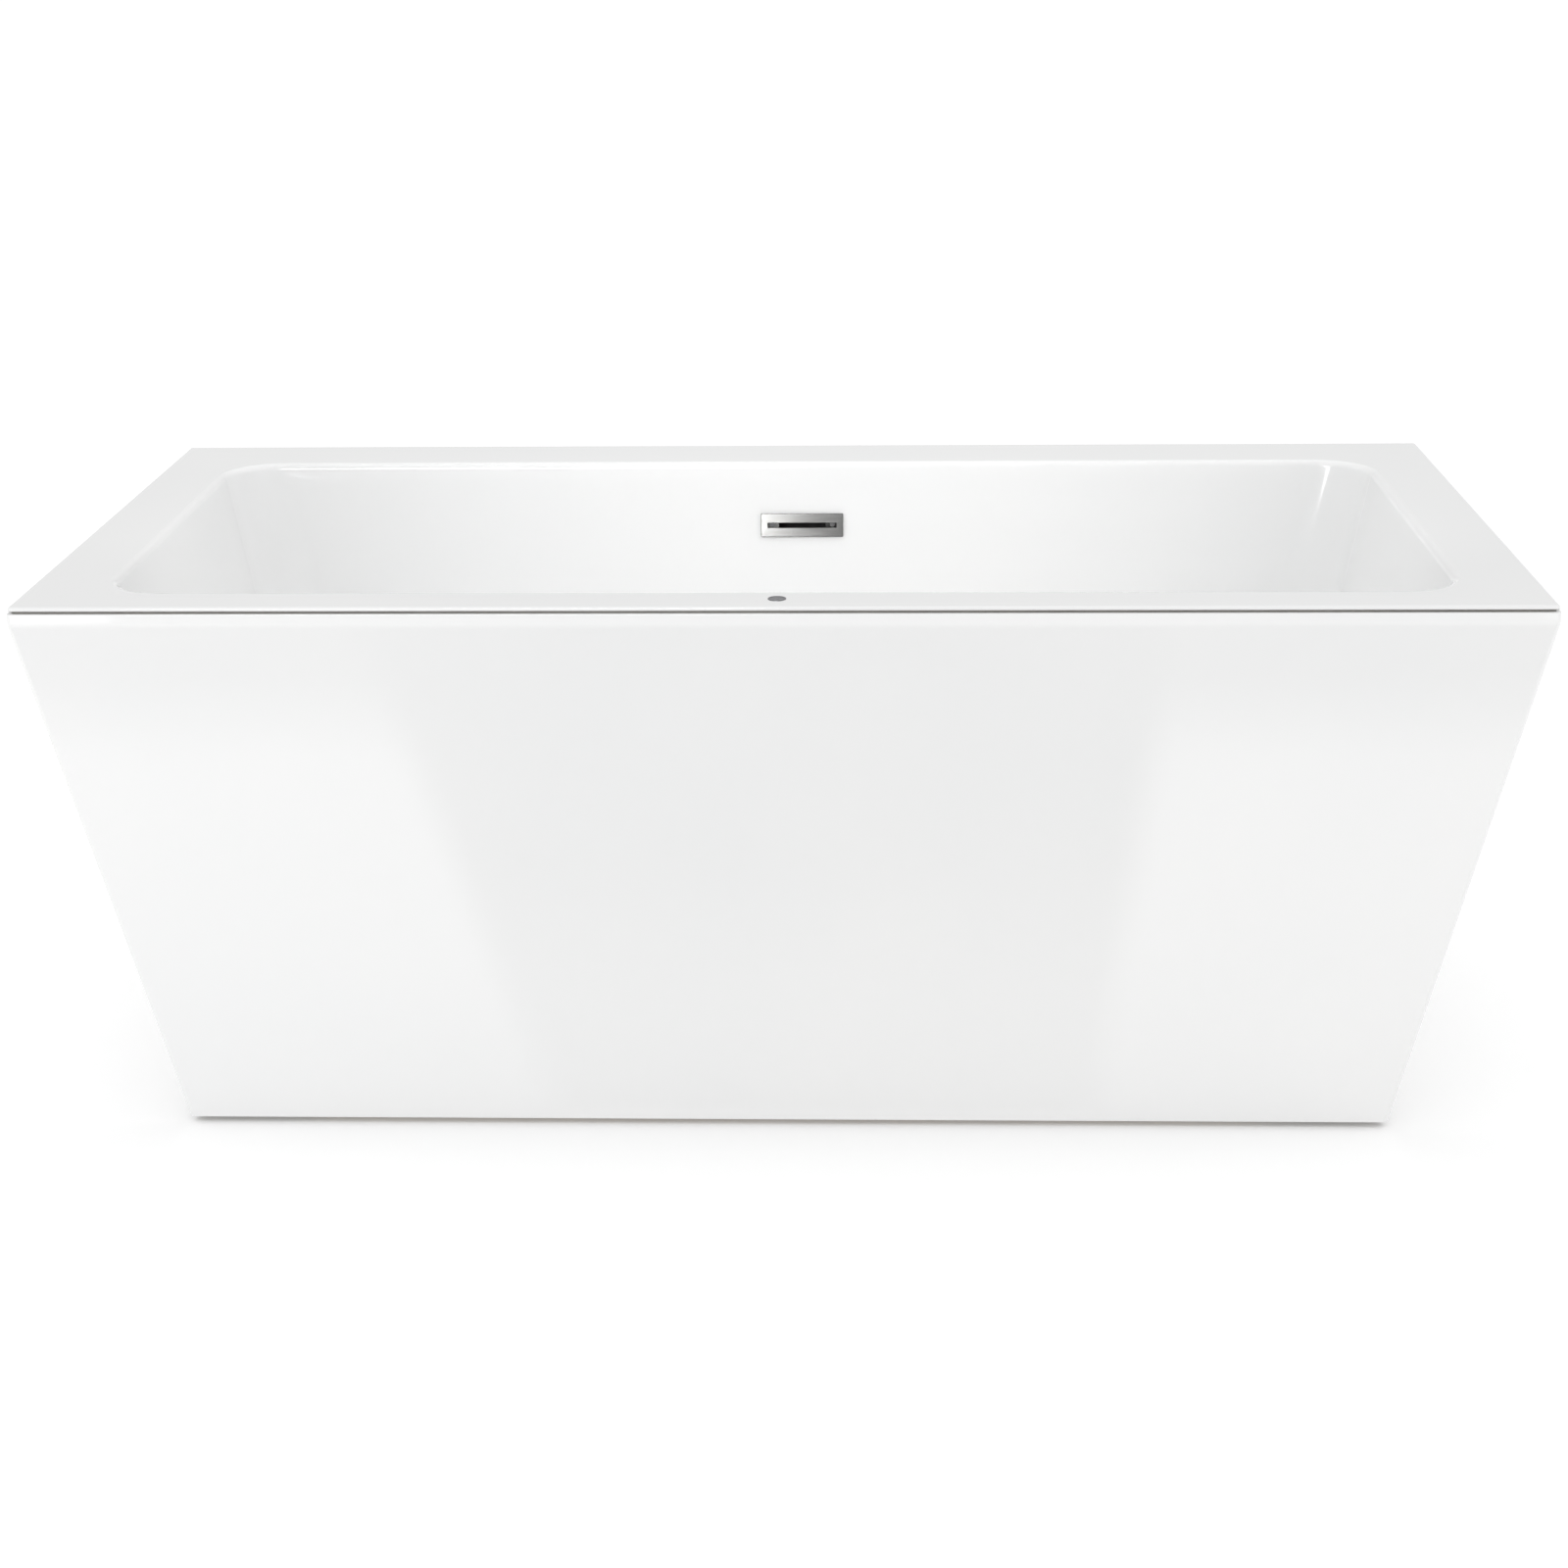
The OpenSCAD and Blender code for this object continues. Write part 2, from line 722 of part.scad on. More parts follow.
// A round wire along a helix
module stopper_spring() {
    sides = 8;
    per_turn = 24;
    n = spring_turns * per_turn;
    r = cartridge_bore - spring_wire - run_gap;
    low = spring_z[0] + spring_wire + run_gap;
    rise = spring_z[1] - spring_wire - run_gap - low;
    points = [for (i = [0:n], j = [0:sides - 1])
        let (a = 360 * i / per_turn, b = 360 * j / sides, d = r + spring_wire * cos(b))
        [d * cos(a), d * sin(a), low + rise * i / n + spring_wire * sin(b)]];
    faces = concat(
        [[for (j = [sides - 1:-1:0]) j]],
        [for (i = [0:n - 1], j = [0:sides - 1])
            let (a = i * sides + j, b = i * sides + (j + 1) % sides)
            each [[a, b + sides, a + sides], [a, b, b + sides]]],
        [[for (j = [0:sides - 1]) n * sides + j]]
    );
    color("silver") at_drain() polyhedron(points, faces, convexity = 10);
}

module stopper_stem() {
    color("goldenrod") at_drain() translate([0, 0, spring_z[1]]) {
        cylinder(r = cartridge_bore - run_gap, h = stem_head_h);
        cylinder(r = stem_r, h = flange_top + cap_socket_h - spring_z[1]);
    }
}

module stopper_seal() {
    top = flange_top + run_gap;
    rim_r = seat_r[0] - seal_edge[0];
    color("dimgray") at_drain() rotate_extrude() polygon([
        [stem_r + push_gap, top], [rim_r, top], [rim_r, top - seal_edge[1]],
        [seat_r[1], top - seal_foot[1]], [seat_r[1] - seal_foot[0], top - seal_h],
        [stem_r + push_gap, top - seal_h]
    ]);
}

module stopper_cap() {
    base = flange_top + run_gap;
    color("silver") at_drain() difference() {
        union() {
            translate([0, 0, base]) cylinder(r = cap_r, h = cap_rim_h);
            intersection() {
                translate([0, 0, base + cap_rim_h + cap_rise - cap_dome_r])
                    sphere(r = cap_dome_r, $fn = 128);
                translate([0, 0, base + cap_rim_h - over]) cylinder(r = cap_r, h = 2 * cap_rise);
            }
        }
        translate([0, 0, base - over]) cylinder(r = stem_r + push_gap, h = cap_socket_h + over);
    }
}

// ---------- Overflow ----------

overflow_y = basin_cy + wall_y - trim_drop * tan(side_draft);
overflow_z = bath_h - trim_drop;

// Local +Y points into the far wall and +Z up along it, from the trim's centre
module on_far_wall()
    translate([waste_x, overflow_y, overflow_z]) rotate([-side_draft, 0, 0]) children();

// A box of width and height size, from y0 to y1
module box_at(size, y0, y1)
    translate([-size[0] / 2, y0, -size[1] / 2]) cube([size[0], y1 - y0, size[1]]);

module along_y(x, y0, y1, r) translate([x, y0, 0]) rotate([-90, 0, 0]) cylinder(r = r, h = y1 - y0);

module at_posts() for (sx = [-1, 1]) translate([sx * post_x, 0, 0]) children();

module wall_slot() on_far_wall() box_at(tray_hole, -2 * trim_t - over, wall_t + 2 * over);

module overflow_trim() {
    hollow = [tray[0] - 2 * tray_wall, tray[1] - 2 * tray_wall];
    face_back = trim_face_t - trim_t;
    color("silver") on_far_wall() difference() {
        union() {
            box_at([trim_w, trim_h], -trim_t, 0);
            box_at(tray, -EPS, tray_depth);
        }
        box_at(slot, -trim_t - over, over);
        box_at(hollow, face_back, tray_depth - tray_floor);
        box_at(tray_drain, 0, tray_depth + over);
        at_posts() along_y(0, 0, tray_depth + over, trim_screw_r + 2 * push_gap);
    }
}

module overflow_screws() {
    seat = tray_depth - tray_floor;
    color("silver") on_far_wall() at_posts() {
        along_y(0, seat - trim_head[1], seat, trim_head[0]);
        along_y(0, seat - EPS, tray_depth + trim_screw_l, trim_screw_r);
    }
}

module overflow_gasket() {
    color("dimgray") on_far_wall() difference() {
        box_at(gasket, wall_t, wall_t + gasket_t);
        box_at(tray_hole, wall_t - over, wall_t + gasket_t + over);
    }
}

module overflow_housing() {
    front = wall_t + gasket_t;
    back = front + housing_d;
    hollow = [housing_box[0] - 2 * housing_wall, housing_box[1] - 2 * housing_wall];
    post_front = tray_depth + run_gap;
    color("black") on_far_wall() {
        difference() {
            union() {
                box_at(housing_flange, front, front + housing_wall);
                box_at(housing_box, front, back);
                translate([0, spout_y, -spout_l]) cylinder(r = inlet_r, h = spout_l);
            }
            box_at(hollow, front + housing_wall, back - housing_wall);
            box_at(tray_hole, front - over, front + housing_wall + over);
            translate([0, spout_y, -spout_l - over]) cylinder(r = inlet_bore, h = spout_l);
        }
        at_posts() difference() {
            along_y(0, post_front, back - housing_wall + root, post_r);
            along_y(0, post_front - over, tray_depth + trim_screw_l + over, trim_screw_r + push_gap);
        }
    }
}

// A point [y, z] on the upper spout's centre line, drop below the overflow's centre
function spout_point(drop) = [
    overflow_y + spout_y * cos(side_draft) - drop * sin(side_draft),
    overflow_z - spout_y * sin(side_draft) - drop * cos(side_draft)
];

// Centre line [y, z] of the hose: down off the housing's spout, then round and into the tee
function hose_line() =
    let (
        inlet_end = drain_y + inlet_l,
        start = spout_point(spout_l - hose_grip),
        free = spout_point(spout_l + hose_free_l),
        turn = [inlet_end + hose_grip, inlet_z + hose_bend]
    )
    concat(
        [start],
        [for (i = [0:hose_fall_steps])
            let (u = i / hose_fall_steps, s = u * u * (3 - 2 * u))
            [free[0] + (turn[0] + hose_bend - free[0]) * s, free[1] + (turn[1] - free[1]) * u]],
        [for (i = [1:hose_bend_steps])
            let (a = -90 * i / hose_bend_steps)
            [turn[0] + hose_bend * cos(a), turn[1] + hose_bend * sin(a)]],
        [[inlet_end - hose_grip, inlet_z]]
    );

// A tube along a line of [y, z] points in the plane x = 0
module swept_tube(line, outer, inner, sides) {
    n = len(line);
    function heading(i) =
        let (a = line[max(0, i - 1)], b = line[min(n - 1, i + 1)], d = b - a) d / norm(d);
    function circle_at(i, r) =
        let (d = heading(i), across = [-d[1], d[0]])
        [for (j = [0:sides - 1])
            let (a = 360 * j / sides, c = r * cos(a))
            [r * sin(a), line[i][0] + across[0] * c, line[i][1] + across[1] * c]];
    points = concat(
        [for (i = [0:n - 1]) each circle_at(i, outer)],
        [for (i = [0:n - 1]) each circle_at(i, inner)]
    );
    in0 = n * sides;
    last = (n - 1) * sides;
    faces = [
        for (i = [0:n - 2], j = [0:sides - 1])
            let (a = i * sides + j, b = i * sides + (j + 1) % sides)
            each [[a, b + sides, b], [a, a + sides, b + sides],
                [in0 + a, in0 + b, in0 + b + sides], [in0 + a, in0 + b + sides, in0 + a + sides]],
        for (j = [0:sides - 1])
            let (k = (j + 1) % sides)
            each [[j, in0 + k, in0 + j], [j, k, in0 + k],
                [last + j, in0 + last + k, last + k], [last + j, in0 + last + j, in0 + last + k]]
    ];
    polyhedron(points, faces, convexity = 10);
}

module overflow_hose()
    color("gray") translate([waste_x, 0, 0]) swept_tube(hose_line(), hose_r, hose_bore, hose_sides);

module hose_clamps() {
    lower_y = inlet_l - clamp_inset - clamp_w;
    color("silver") {
        on_far_wall() translate([0, spout_y, clamp_inset - spout_l]) clamp_band();
        at_drain() translate([0, lower_y, inlet_z]) rotate([-90, 0, 0]) clamp_band();
    }
}

module clamp_band() {
    difference() {
        union() {
            cylinder(r = hose_r + clamp_t, h = clamp_w);
            translate([hose_r - over, -clamp_screw[1] / 2, 0])
                cube([clamp_screw[0] + over, clamp_screw[1], clamp_w]);
        }
        translate([0, 0, -over]) cylinder(r = hose_r + push_gap, h = clamp_w + 2 * over);
    }
}

// ---------- Nodes ----------

basin_shell();
basin_laminate();
skirt_shell();
skirt_laminate();
rim_seal();
rim_badge();
base_board();
board_screws();
rail(rail_ys[0]);  // front_rail
rail(rail_ys[1]);  // back_rail
for (i = [0:3]) cross_rail(i);
foot_brackets();
weld_nuts();
lock_nuts();
for (i = [0:3]) foot_pad(i);
for (i = [0:3]) foot_sole(i);
for (i = [0:3]) foot_stud(i);
batten(-1);  // front_batten
batten(1);  // back_batten
skirt_hangers();
hanger_screws();
drain_flange();
flange_gasket();
clamp_washer();
clamp_nut();
waste_tee();
tailpiece();
slip_washer();
slip_nut();
stopper_cartridge();
stopper_spring();
stopper_stem();
stopper_seal();
stopper_cap();
overflow_trim();
overflow_screws();
overflow_gasket();
overflow_housing();
overflow_hose();
hose_clamps();
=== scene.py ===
import json
import math
import bmesh
import bpy
from mathutils import Matrix, Vector


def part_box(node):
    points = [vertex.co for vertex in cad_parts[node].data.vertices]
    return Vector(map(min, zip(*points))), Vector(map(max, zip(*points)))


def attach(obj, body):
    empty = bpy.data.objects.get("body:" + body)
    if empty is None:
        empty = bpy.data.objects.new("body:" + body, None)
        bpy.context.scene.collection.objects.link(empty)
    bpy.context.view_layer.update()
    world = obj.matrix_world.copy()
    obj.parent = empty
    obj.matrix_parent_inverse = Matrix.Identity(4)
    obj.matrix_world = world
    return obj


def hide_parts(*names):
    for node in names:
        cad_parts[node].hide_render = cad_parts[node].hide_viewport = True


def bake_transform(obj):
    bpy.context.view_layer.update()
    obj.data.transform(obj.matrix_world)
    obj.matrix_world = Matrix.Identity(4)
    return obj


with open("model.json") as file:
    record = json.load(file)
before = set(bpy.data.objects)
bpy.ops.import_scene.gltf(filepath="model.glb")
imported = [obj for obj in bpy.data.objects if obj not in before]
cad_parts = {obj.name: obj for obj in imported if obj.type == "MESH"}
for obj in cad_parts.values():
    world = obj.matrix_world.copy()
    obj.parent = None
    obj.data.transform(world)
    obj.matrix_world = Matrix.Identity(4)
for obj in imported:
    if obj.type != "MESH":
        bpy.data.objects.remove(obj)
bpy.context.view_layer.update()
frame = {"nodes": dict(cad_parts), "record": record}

# ---------- Sizes, in metres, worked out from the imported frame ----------

BASIN_LOW, BASIN_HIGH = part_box("basin_shell")
SKIRT_LOW, SKIRT_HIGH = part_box("skirt_shell")
SEAL_LOW, SEAL_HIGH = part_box("rim_seal")
BADGE_LOW, BADGE_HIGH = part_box("rim_badge")
FLANGE_LOW, FLANGE_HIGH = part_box("drain_flange")
SPRING_LOW, SPRING_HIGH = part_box("stopper_spring")
TEE_LOW, TEE_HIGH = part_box("waste_tee")

BATH_H = BASIN_HIGH.z
SHEET = 0.004                     # acrylic
FILM = 0.0002                     # bond between the acrylic and its laminate
BASIN_FRP = 0.003
SKIRT_FRP = 0.0025

# Basin
END_DECK, FRONT_DECK, BACK_DECK = 0.080, 0.060, 0.100
WALL_X = SKIRT_HIGH.x - END_DECK
WALL_Y = (2 * SKIRT_HIGH.y - FRONT_DECK - BACK_DECK) / 2
BASIN_CY = (FRONT_DECK - BACK_DECK) / 2
FLOOR_Z = BASIN_LOW.z + SHEET
END_DRAFT, SIDE_DRAFT = math.radians(12.5), math.radians(7)
CORNER_TOP, CORNER_FLOOR = 0.060, 0.074
FLOOR_FILLET = 0.050
LIP_R = 0.007
DECK_EDGE_R = 0.0025
DECK_CORNER = 0.004

# Skirt
BAND_H = 0.012
FLANGE_W = 0.026
SKIRT_CORNER = 0.005
END_TAPER, SIDE_TAPER = 0.118, 0.070

# Waste and overflow
DRAIN = Vector(((FLANGE_LOW.x + FLANGE_HIGH.x) / 2, (FLANGE_LOW.y + FLANGE_HIGH.y) / 2, 0))
DISH_R, DISH_H, BARREL_HOLE = 0.036, 0.0015, 0.025
TRIM_DROP = 0.074
TRIM_W, TRIM_H, TRIM_T = 0.098, 0.028, 0.0035
SLOT_W, SLOT_H = 0.082, 0.006
TRAY_W, TRAY_H, TRAY_DEPTH = 0.086, 0.012, 0.009
TRAY_GAP = 0.0005                 # round the tray, in the walls' hole
SPOUT_L, SPOUT_DROP = 0.040, 0.021
TEE_INLET_Z, HOSE_GRIP, HOSE_BEND = 0.074, 0.024, 0.075

CORNER_STEPS = 12                 # segments in each round corner
WELD = 1e-6                       # points closer than this are joined
SHARP = 35                        # degrees: an edge that turns by more is drawn sharp


# ---------- Camera ----------

def look(position, yaw, pitch, roll, lens):
    """A camera that looks along +Y at yaw 0, tipped down by pitch."""
    camera = bpy.data.objects.new("camera", bpy.data.cameras.new("camera"))
    bpy.context.scene.collection.objects.link(camera)
    turn = Matrix.Rotation(yaw, 4, "Z") @ Matrix.Rotation(math.pi / 2 - pitch, 4, "X")
    camera.matrix_world = Matrix.Translation(position) @ turn @ Matrix.Rotation(roll, 4, "Z")
    camera.data.sensor_width = 36
    camera.data.lens = lens
    camera.data.clip_end = 200
    bpy.context.scene.camera = camera


look((0.101, -2.895, 1.275), math.radians(2.16), math.radians(19.03), math.radians(-0.66), 62.3)


# ---------- Materials ----------

BRUSHED = "brushed"               # UV map whose U runs across the brush lines


class Shader:
    """A material's node tree, with short ways to add detail measured in metres."""

    def __init__(self, name, colour, rough, metal=0.0):
        self.material = bpy.data.materials.new(name)
        self.material.use_nodes = True
        self.tree = self.material.node_tree
        self.bsdf = self.tree.nodes["Principled BSDF"]
        self.set("Base Color", (*colour, 1))
        self.set("Roughness", rough)
        self.set("Metallic", metal)
        self.place = self.node("ShaderNodeTexCoord").outputs["Object"]
        self.normal = None            # of the last bump, which the next one builds on

    def set(self, socket, value):
        self.bsdf.inputs[socket].default_value = value

    def node(self, kind, **inputs):
        made = self.tree.nodes.new(kind)
        for name, value in inputs.items():
            made.inputs[name].default_value = value
        return made

    def link(self, source, target):
        self.tree.links.new(source, target)

    def stretched(self, scale):
        move = self.node("ShaderNodeMapping")
        move.inputs["Scale"].default_value = scale
        self.link(self.place, move.inputs["Vector"])
        return move.outputs["Vector"]

    def noise(self, size, detail=3.0, rough=0.55, scale=(1, 1, 1)):
        made = self.node("ShaderNodeTexNoise", Scale=1 / size, Detail=detail, Roughness=rough)
        self.link(self.stretched(scale), made.inputs["Vector"])
        return made.outputs["Fac"]

    def cells(self, size):
        """A flat colour of its own in each cell, like the spangle of zinc."""
        made = self.node("ShaderNodeTexVoronoi", Scale=1 / size)
        self.link(self.place, made.inputs["Vector"])
        return made.outputs["Color"]

    def ramp(self, source, *stops):
        made = self.node("ShaderNodeValToRGB")
        while len(made.color_ramp.elements) < len(stops):
            made.color_ramp.elements.new(0.5)
        for element, (at, value) in zip(made.color_ramp.elements, stops):
            element.position = at
            element.color = (*value, 1) if isinstance(value, tuple) else (value, value, value, 1)
        self.link(source, made.inputs["Fac"])
        return made.outputs["Color"]

    def colour(self, source, *stops):
        self.link(self.ramp(source, *stops), self.bsdf.inputs["Base Color"])

    def tint(self, source, low, high, amount_low, amount_high):
        """Lays a second colour variation over the first."""
        mix = self.node("ShaderNodeMix")
        mix.data_type = "RGBA"
        mix.blend_type = "MULTIPLY"
        mix.inputs["Factor"].default_value = 1.0
        before = self.bsdf.inputs["Base Color"].links[0].from_socket
        self.link(before, mix.inputs["A"])
        self.link(self.ramp(source, (low, amount_low), (high, amount_high)), mix.inputs["B"])
        self.link(mix.outputs["Result"], self.bsdf.inputs["Base Color"])

    def paint_shade_in_recesses(self, reach):
        """Paints shade into the colour: darkens it in recesses narrower than reach, where shade falls.
        """
        openness = self.node("ShaderNodeAmbientOcclusion", Distance=reach)
        self.tint(openness.outputs["AO"], 0.25, 0.85, (0.16, 0.16, 0.16), (1.0, 1.0, 1.0))

    def roughness(self, source, low, high):
        made = self.node("ShaderNodeMapRange")
        made.inputs["From Min"].default_value = 0.3
        made.inputs["From Max"].default_value = 0.7
        made.inputs["To Min"].default_value = low
        made.inputs["To Max"].default_value = high
        self.link(source, made.inputs["Value"])
        self.link(made.outputs["Result"], self.bsdf.inputs["Roughness"])

    def bump(self, source, depth, strength=1.0):
        made = self.node("ShaderNodeBump", Strength=strength, Distance=depth)
        self.link(source, made.inputs["Height"])
        if self.normal is not None:
            self.link(self.normal, made.inputs["Normal"])
        self.normal = made.outputs["Normal"]
        self.link(self.normal, self.bsdf.inputs["Normal"])


def acrylic():
    s = Shader("acrylic", (0.86, 0.86, 0.86), 0.08)
    s.colour(s.noise(0.5, 2), (0.35, (0.852, 0.855, 0.855)), (0.65, (0.872, 0.872, 0.869)))
    s.roughness(s.noise(0.12, 4), 0.05, 0.10)
    s.bump(s.noise(0.35, 1), 0.0006, 0.35)
    s.bump(s.noise(0.004, 2), 0.00002, 0.6)
    s.set("Coat Weight", 0.4)
    s.set("Coat Roughness", 0.04)
    s.set("IOR", 1.49)
    return s.material


def laminate():
    s = Shader("laminate", (0.72, 0.68, 0.52), 0.5)
    fibres = s.noise(0.0016, 3, 0.6, scale=(1, 0.12, 1))
    s.colour(fibres, (0.35, (0.56, 0.52, 0.38)), (0.52, (0.74, 0.71, 0.58)), (0.7, (0.84, 0.82, 0.73)))
    s.tint(s.noise(0.09, 3), 0.35, 0.65, (0.86, 0.85, 0.80), (1.0, 1.0, 1.0))
    s.roughness(s.noise(0.02, 4), 0.28, 0.62)
    s.bump(s.noise(0.03, 3), 0.0012, 0.7)
    s.bump(fibres, 0.0003, 0.8)
    return s.material


def sealant():
    s = Shader("sealant", (0.17, 0.17, 0.16), 0.5)
    s.colour(s.noise(0.06, 3), (0.35, (0.235, 0.225, 0.205)), (0.65, (0.275, 0.265, 0.24)))
    s.roughness(s.noise(0.01, 3), 0.38, 0.60)
    s.bump(s.noise(0.006, 2), 0.0001, 0.5)
    return s.material


def plywood():
    s = Shader("plywood", (0.60, 0.43, 0.25), 0.65)
    grain = s.noise(0.010, 5, 0.6, scale=(0.06, 1, 1))
    s.colour(grain, (0.30, (0.42, 0.27, 0.13)), (0.50, (0.61, 0.44, 0.26)), (0.72, (0.72, 0.56, 0.36)))
    plies = s.node("ShaderNodeTexWave", Scale=1 / 0.0095, Distortion=0.6, Detail=1.0)
    plies.bands_direction = "Z"
    s.link(s.place, plies.inputs["Vector"])
    s.tint(plies.outputs["Fac"], 0.25, 0.6, (0.72, 0.68, 0.62), (1.0, 1.0, 1.0))
    s.roughness(grain, 0.55, 0.8)
    s.bump(grain, 0.0003, 0.6)
    return s.material


def galvanised():
    s = Shader("galvanised_steel", (0.52, 0.53, 0.54), 0.4, 1.0)
    s.colour(s.cells(0.009), (0.2, (0.40, 0.41, 0.43)), (0.8, (0.66, 0.67, 0.68)))
    s.tint(s.noise(0.04, 4), 0.35, 0.7, (0.82, 0.82, 0.82), (1.0, 1.0, 1.0))
    s.roughness(s.noise(0.008, 3), 0.28, 0.52)
    s.bump(s.noise(0.0015, 3), 0.00005, 0.6)
    return s.material


def zinc():
    s = Shader("zinc_steel", (0.66, 0.67, 0.68), 0.28, 1.0)
    s.colour(s.noise(0.012, 4), (0.35, (0.55, 0.56, 0.58)), (0.65, (0.71, 0.71, 0.70)))
    # painted shade: darker in recesses, such as the screws inside the overflow's tray
    s.paint_shade_in_recesses(0.012)
    s.roughness(s.noise(0.004, 3), 0.20, 0.38)
    s.bump(s.noise(0.0008, 2), 0.00003, 0.6)
    return s.material


def black_plastic():
    s = Shader("black_plastic", (0.03, 0.03, 0.032), 0.45)
    s.colour(s.noise(0.02, 4), (0.35, (0.022, 0.022, 0.024)), (0.65, (0.045, 0.045, 0.047)))
    s.roughness(s.noise(0.006, 3), 0.35, 0.58)
    s.bump(s.noise(0.0006, 2), 0.00006, 0.7)
    return s.material


def seal_rubber():
    s = Shader("seal_rubber", (0.045, 0.045, 0.045), 0.75)
    s.colour(s.noise(0.015, 4), (0.35, (0.035, 0.035, 0.036)), (0.7, (0.075, 0.073, 0.070)))
    s.roughness(s.noise(0.005, 3), 0.65, 0.88)
    s.bump(s.noise(0.0012, 3), 0.0001, 0.7)
    return s.material


def chrome():
    s = Shader("chrome_trim", (0.56, 0.56, 0.565), 0.12, 1.0)
    s.colour(s.noise(0.02, 4), (0.35, (0.50, 0.50, 0.505)), (0.65, (0.60, 0.60, 0.60)))
    # painted shade: darker in recesses and next to the wall
    s.paint_shade_in_recesses(0.012)
    s.roughness(s.noise(0.003, 3), 0.08, 0.18)
    s.bump(s.noise(0.001, 2), 0.000012, 0.5)
    return s.material


def brushed_chrome_painted_shade():
    """The overflow's plate: brushed along its length, so that it smears what it mirrors up and down. Its
    colour is much darker than chrome's, a painted dark reflection.
    """
    # painted reflection: a base colour far darker than chrome stands in for the dark the plate mirrors
    s = Shader("brushed_chrome_painted_shade", (0.20, 0.20, 0.196), 0.20, 1.0)
    lines = s.noise(0.0009, 3, 0.6, scale=(0.03, 1, 1))
    s.colour(lines, (0.3, (0.180, 0.180, 0.176)), (0.7, (0.230, 0.230, 0.226)))
    # painted shade: the tray behind the slot and the plate's edges darkened in the colour
    s.paint_shade_in_recesses(0.012)
    s.roughness(lines, 0.17, 0.24)
    s.bump(lines, 0.000008, 0.4)
    s.set("Anisotropic", 1.0)
    across = s.node("ShaderNodeTangent")
    across.direction_type = "UV_MAP"
    across.uv_map = BRUSHED
    s.link(across.outputs["Tangent"], s.bsdf.inputs["Tangent"])
    return s.material


def badge_metal():
    s = Shader("badge_metal", (0.20, 0.20, 0.21), 0.3, 1.0)
    s.colour(s.noise(0.003, 3), (0.35, (0.16, 0.16, 0.17)), (0.65, (0.26, 0.26, 0.27)))
    s.roughness(s.noise(0.001, 2, scale=(0.05, 1, 1)), 0.22, 0.36)
    s.bump(s.noise(0.0006, 2, scale=(0.05, 1, 1)), 0.00001, 0.5)
    return s.material


def brass():
    s = Shader("brass", (0.72, 0.52, 0.22), 0.25, 1.0)
    s.colour(s.noise(0.01, 4), (0.35, (0.62, 0.44, 0.17)), (0.65, (0.78, 0.58, 0.27)))
    s.roughness(s.noise(0.003, 3, scale=(1, 1, 8)), 0.18, 0.34)
    s.bump(s.noise(0.0005, 2, scale=(1, 1, 6)), 0.00002, 0.6)
    return s.material


def hose_plastic():
    s = Shader("hose_plastic", (0.42, 0.43, 0.44), 0.45)
    s.colour(s.noise(0.03, 4), (0.35, (0.36, 0.37, 0.38)), (0.65, (0.48, 0.49, 0.50)))
    s.roughness(s.noise(0.01, 3), 0.36, 0.58)
    s.bump(s.noise(0.002, 3), 0.00008, 0.6)
    return s.material


def studio_floor():
    s = Shader("studio_floor", (0.90, 0.90, 0.90), 0.9)
    s.set("Specular IOR Level", 0.0)
    s.set("Emission Color", (1, 1, 1, 1))
    s.set("Emission Strength", 0.165)
    return s.material


MATERIALS = {
    "acrylic": acrylic(), "laminate": laminate(), "sealant": sealant(), "plywood": plywood(),
    "galvanised_steel": galvanised(), "zinc_steel": zinc(), "black_plastic": black_plastic(),
    "seal_rubber": seal_rubber(), "chrome_trim": chrome(), "badge_metal": badge_metal(),
    "brass": brass(), "hose_plastic": hose_plastic(),
}


def finish_cad_nodes():
    """Gives each CAD node the material that its slot in the record names."""
    for part in frame["record"]["subparts"]:
        node = frame["nodes"][part["node"]]
        node.data.materials.clear()
        node.data.materials.append(MATERIALS[part["material_slot"]])


# ---------- Mesh code ----------

def rounded(hx, hy, r, cy=0.0, steps=CORNER_STEPS):
    """Points of a rectangle with round corners, counter-clockwise."""
    points = []
    for sx, sy, start in ((1, -1, -90), (1, 1, 0), (-1, 1, 90), (-1, -1, 180)):
        for i in range(steps + 1):
            a = math.radians(start + 90 * i / steps)
            points.append((sx * (hx - r) + r * math.cos(a), cy + sy * (hy - r) + r * math.sin(a)))
    return points


def ring(z, hx, hy, r, cy=0.0, cx=0.0):
    return [Vector((cx + x, y, z)) for x, y in rounded(hx, hy, r, cy)]


def round_ring(z, r, centre):
    """A circle with as many points as a rounded rectangle, so that the two can be joined."""
    flat = 1e-5                       # keeps the points of neighbouring corners apart
    return ring(z, r + flat, r + flat, r, centre.y, centre.x)


def skin(name, rings, slot, closed=True, cap=False, sharp=SHARP):
    """A surface through rings with equal numbers of points."""
    bm = bmesh.new()
    made = [[bm.verts.new(p) for p in points] for points in rings]
    pairs = list(zip(made, made[1:]))
    if closed:
        pairs.append((made[-1], made[0]))
    for a, b in pairs:
        for i in range(len(a)):
            j = (i + 1) % len(a)
            bm.faces.new((a[i], a[j], b[j], b[i]))
    if cap:
        bm.faces.new(made[0])
        bm.faces.new(made[-1])
    return solid(name, bm, slot, sharp)


def solid(name, bm, slot, sharp=SHARP):
    """Turns a bmesh into a smooth-shaded piece with its material."""
    bmesh.ops.remove_doubles(bm, verts=bm.verts, dist=WELD)
    bmesh.ops.recalc_face_normals(bm, faces=bm.faces)
    mesh = bpy.data.meshes.new(name)
    bm.to_mesh(mesh)
    bm.free()
    piece = bpy.data.objects.new(name, mesh)
    bpy.context.scene.collection.objects.link(piece)
    mesh.materials.append(MATERIALS[slot])
    shade(piece, sharp)
    return piece


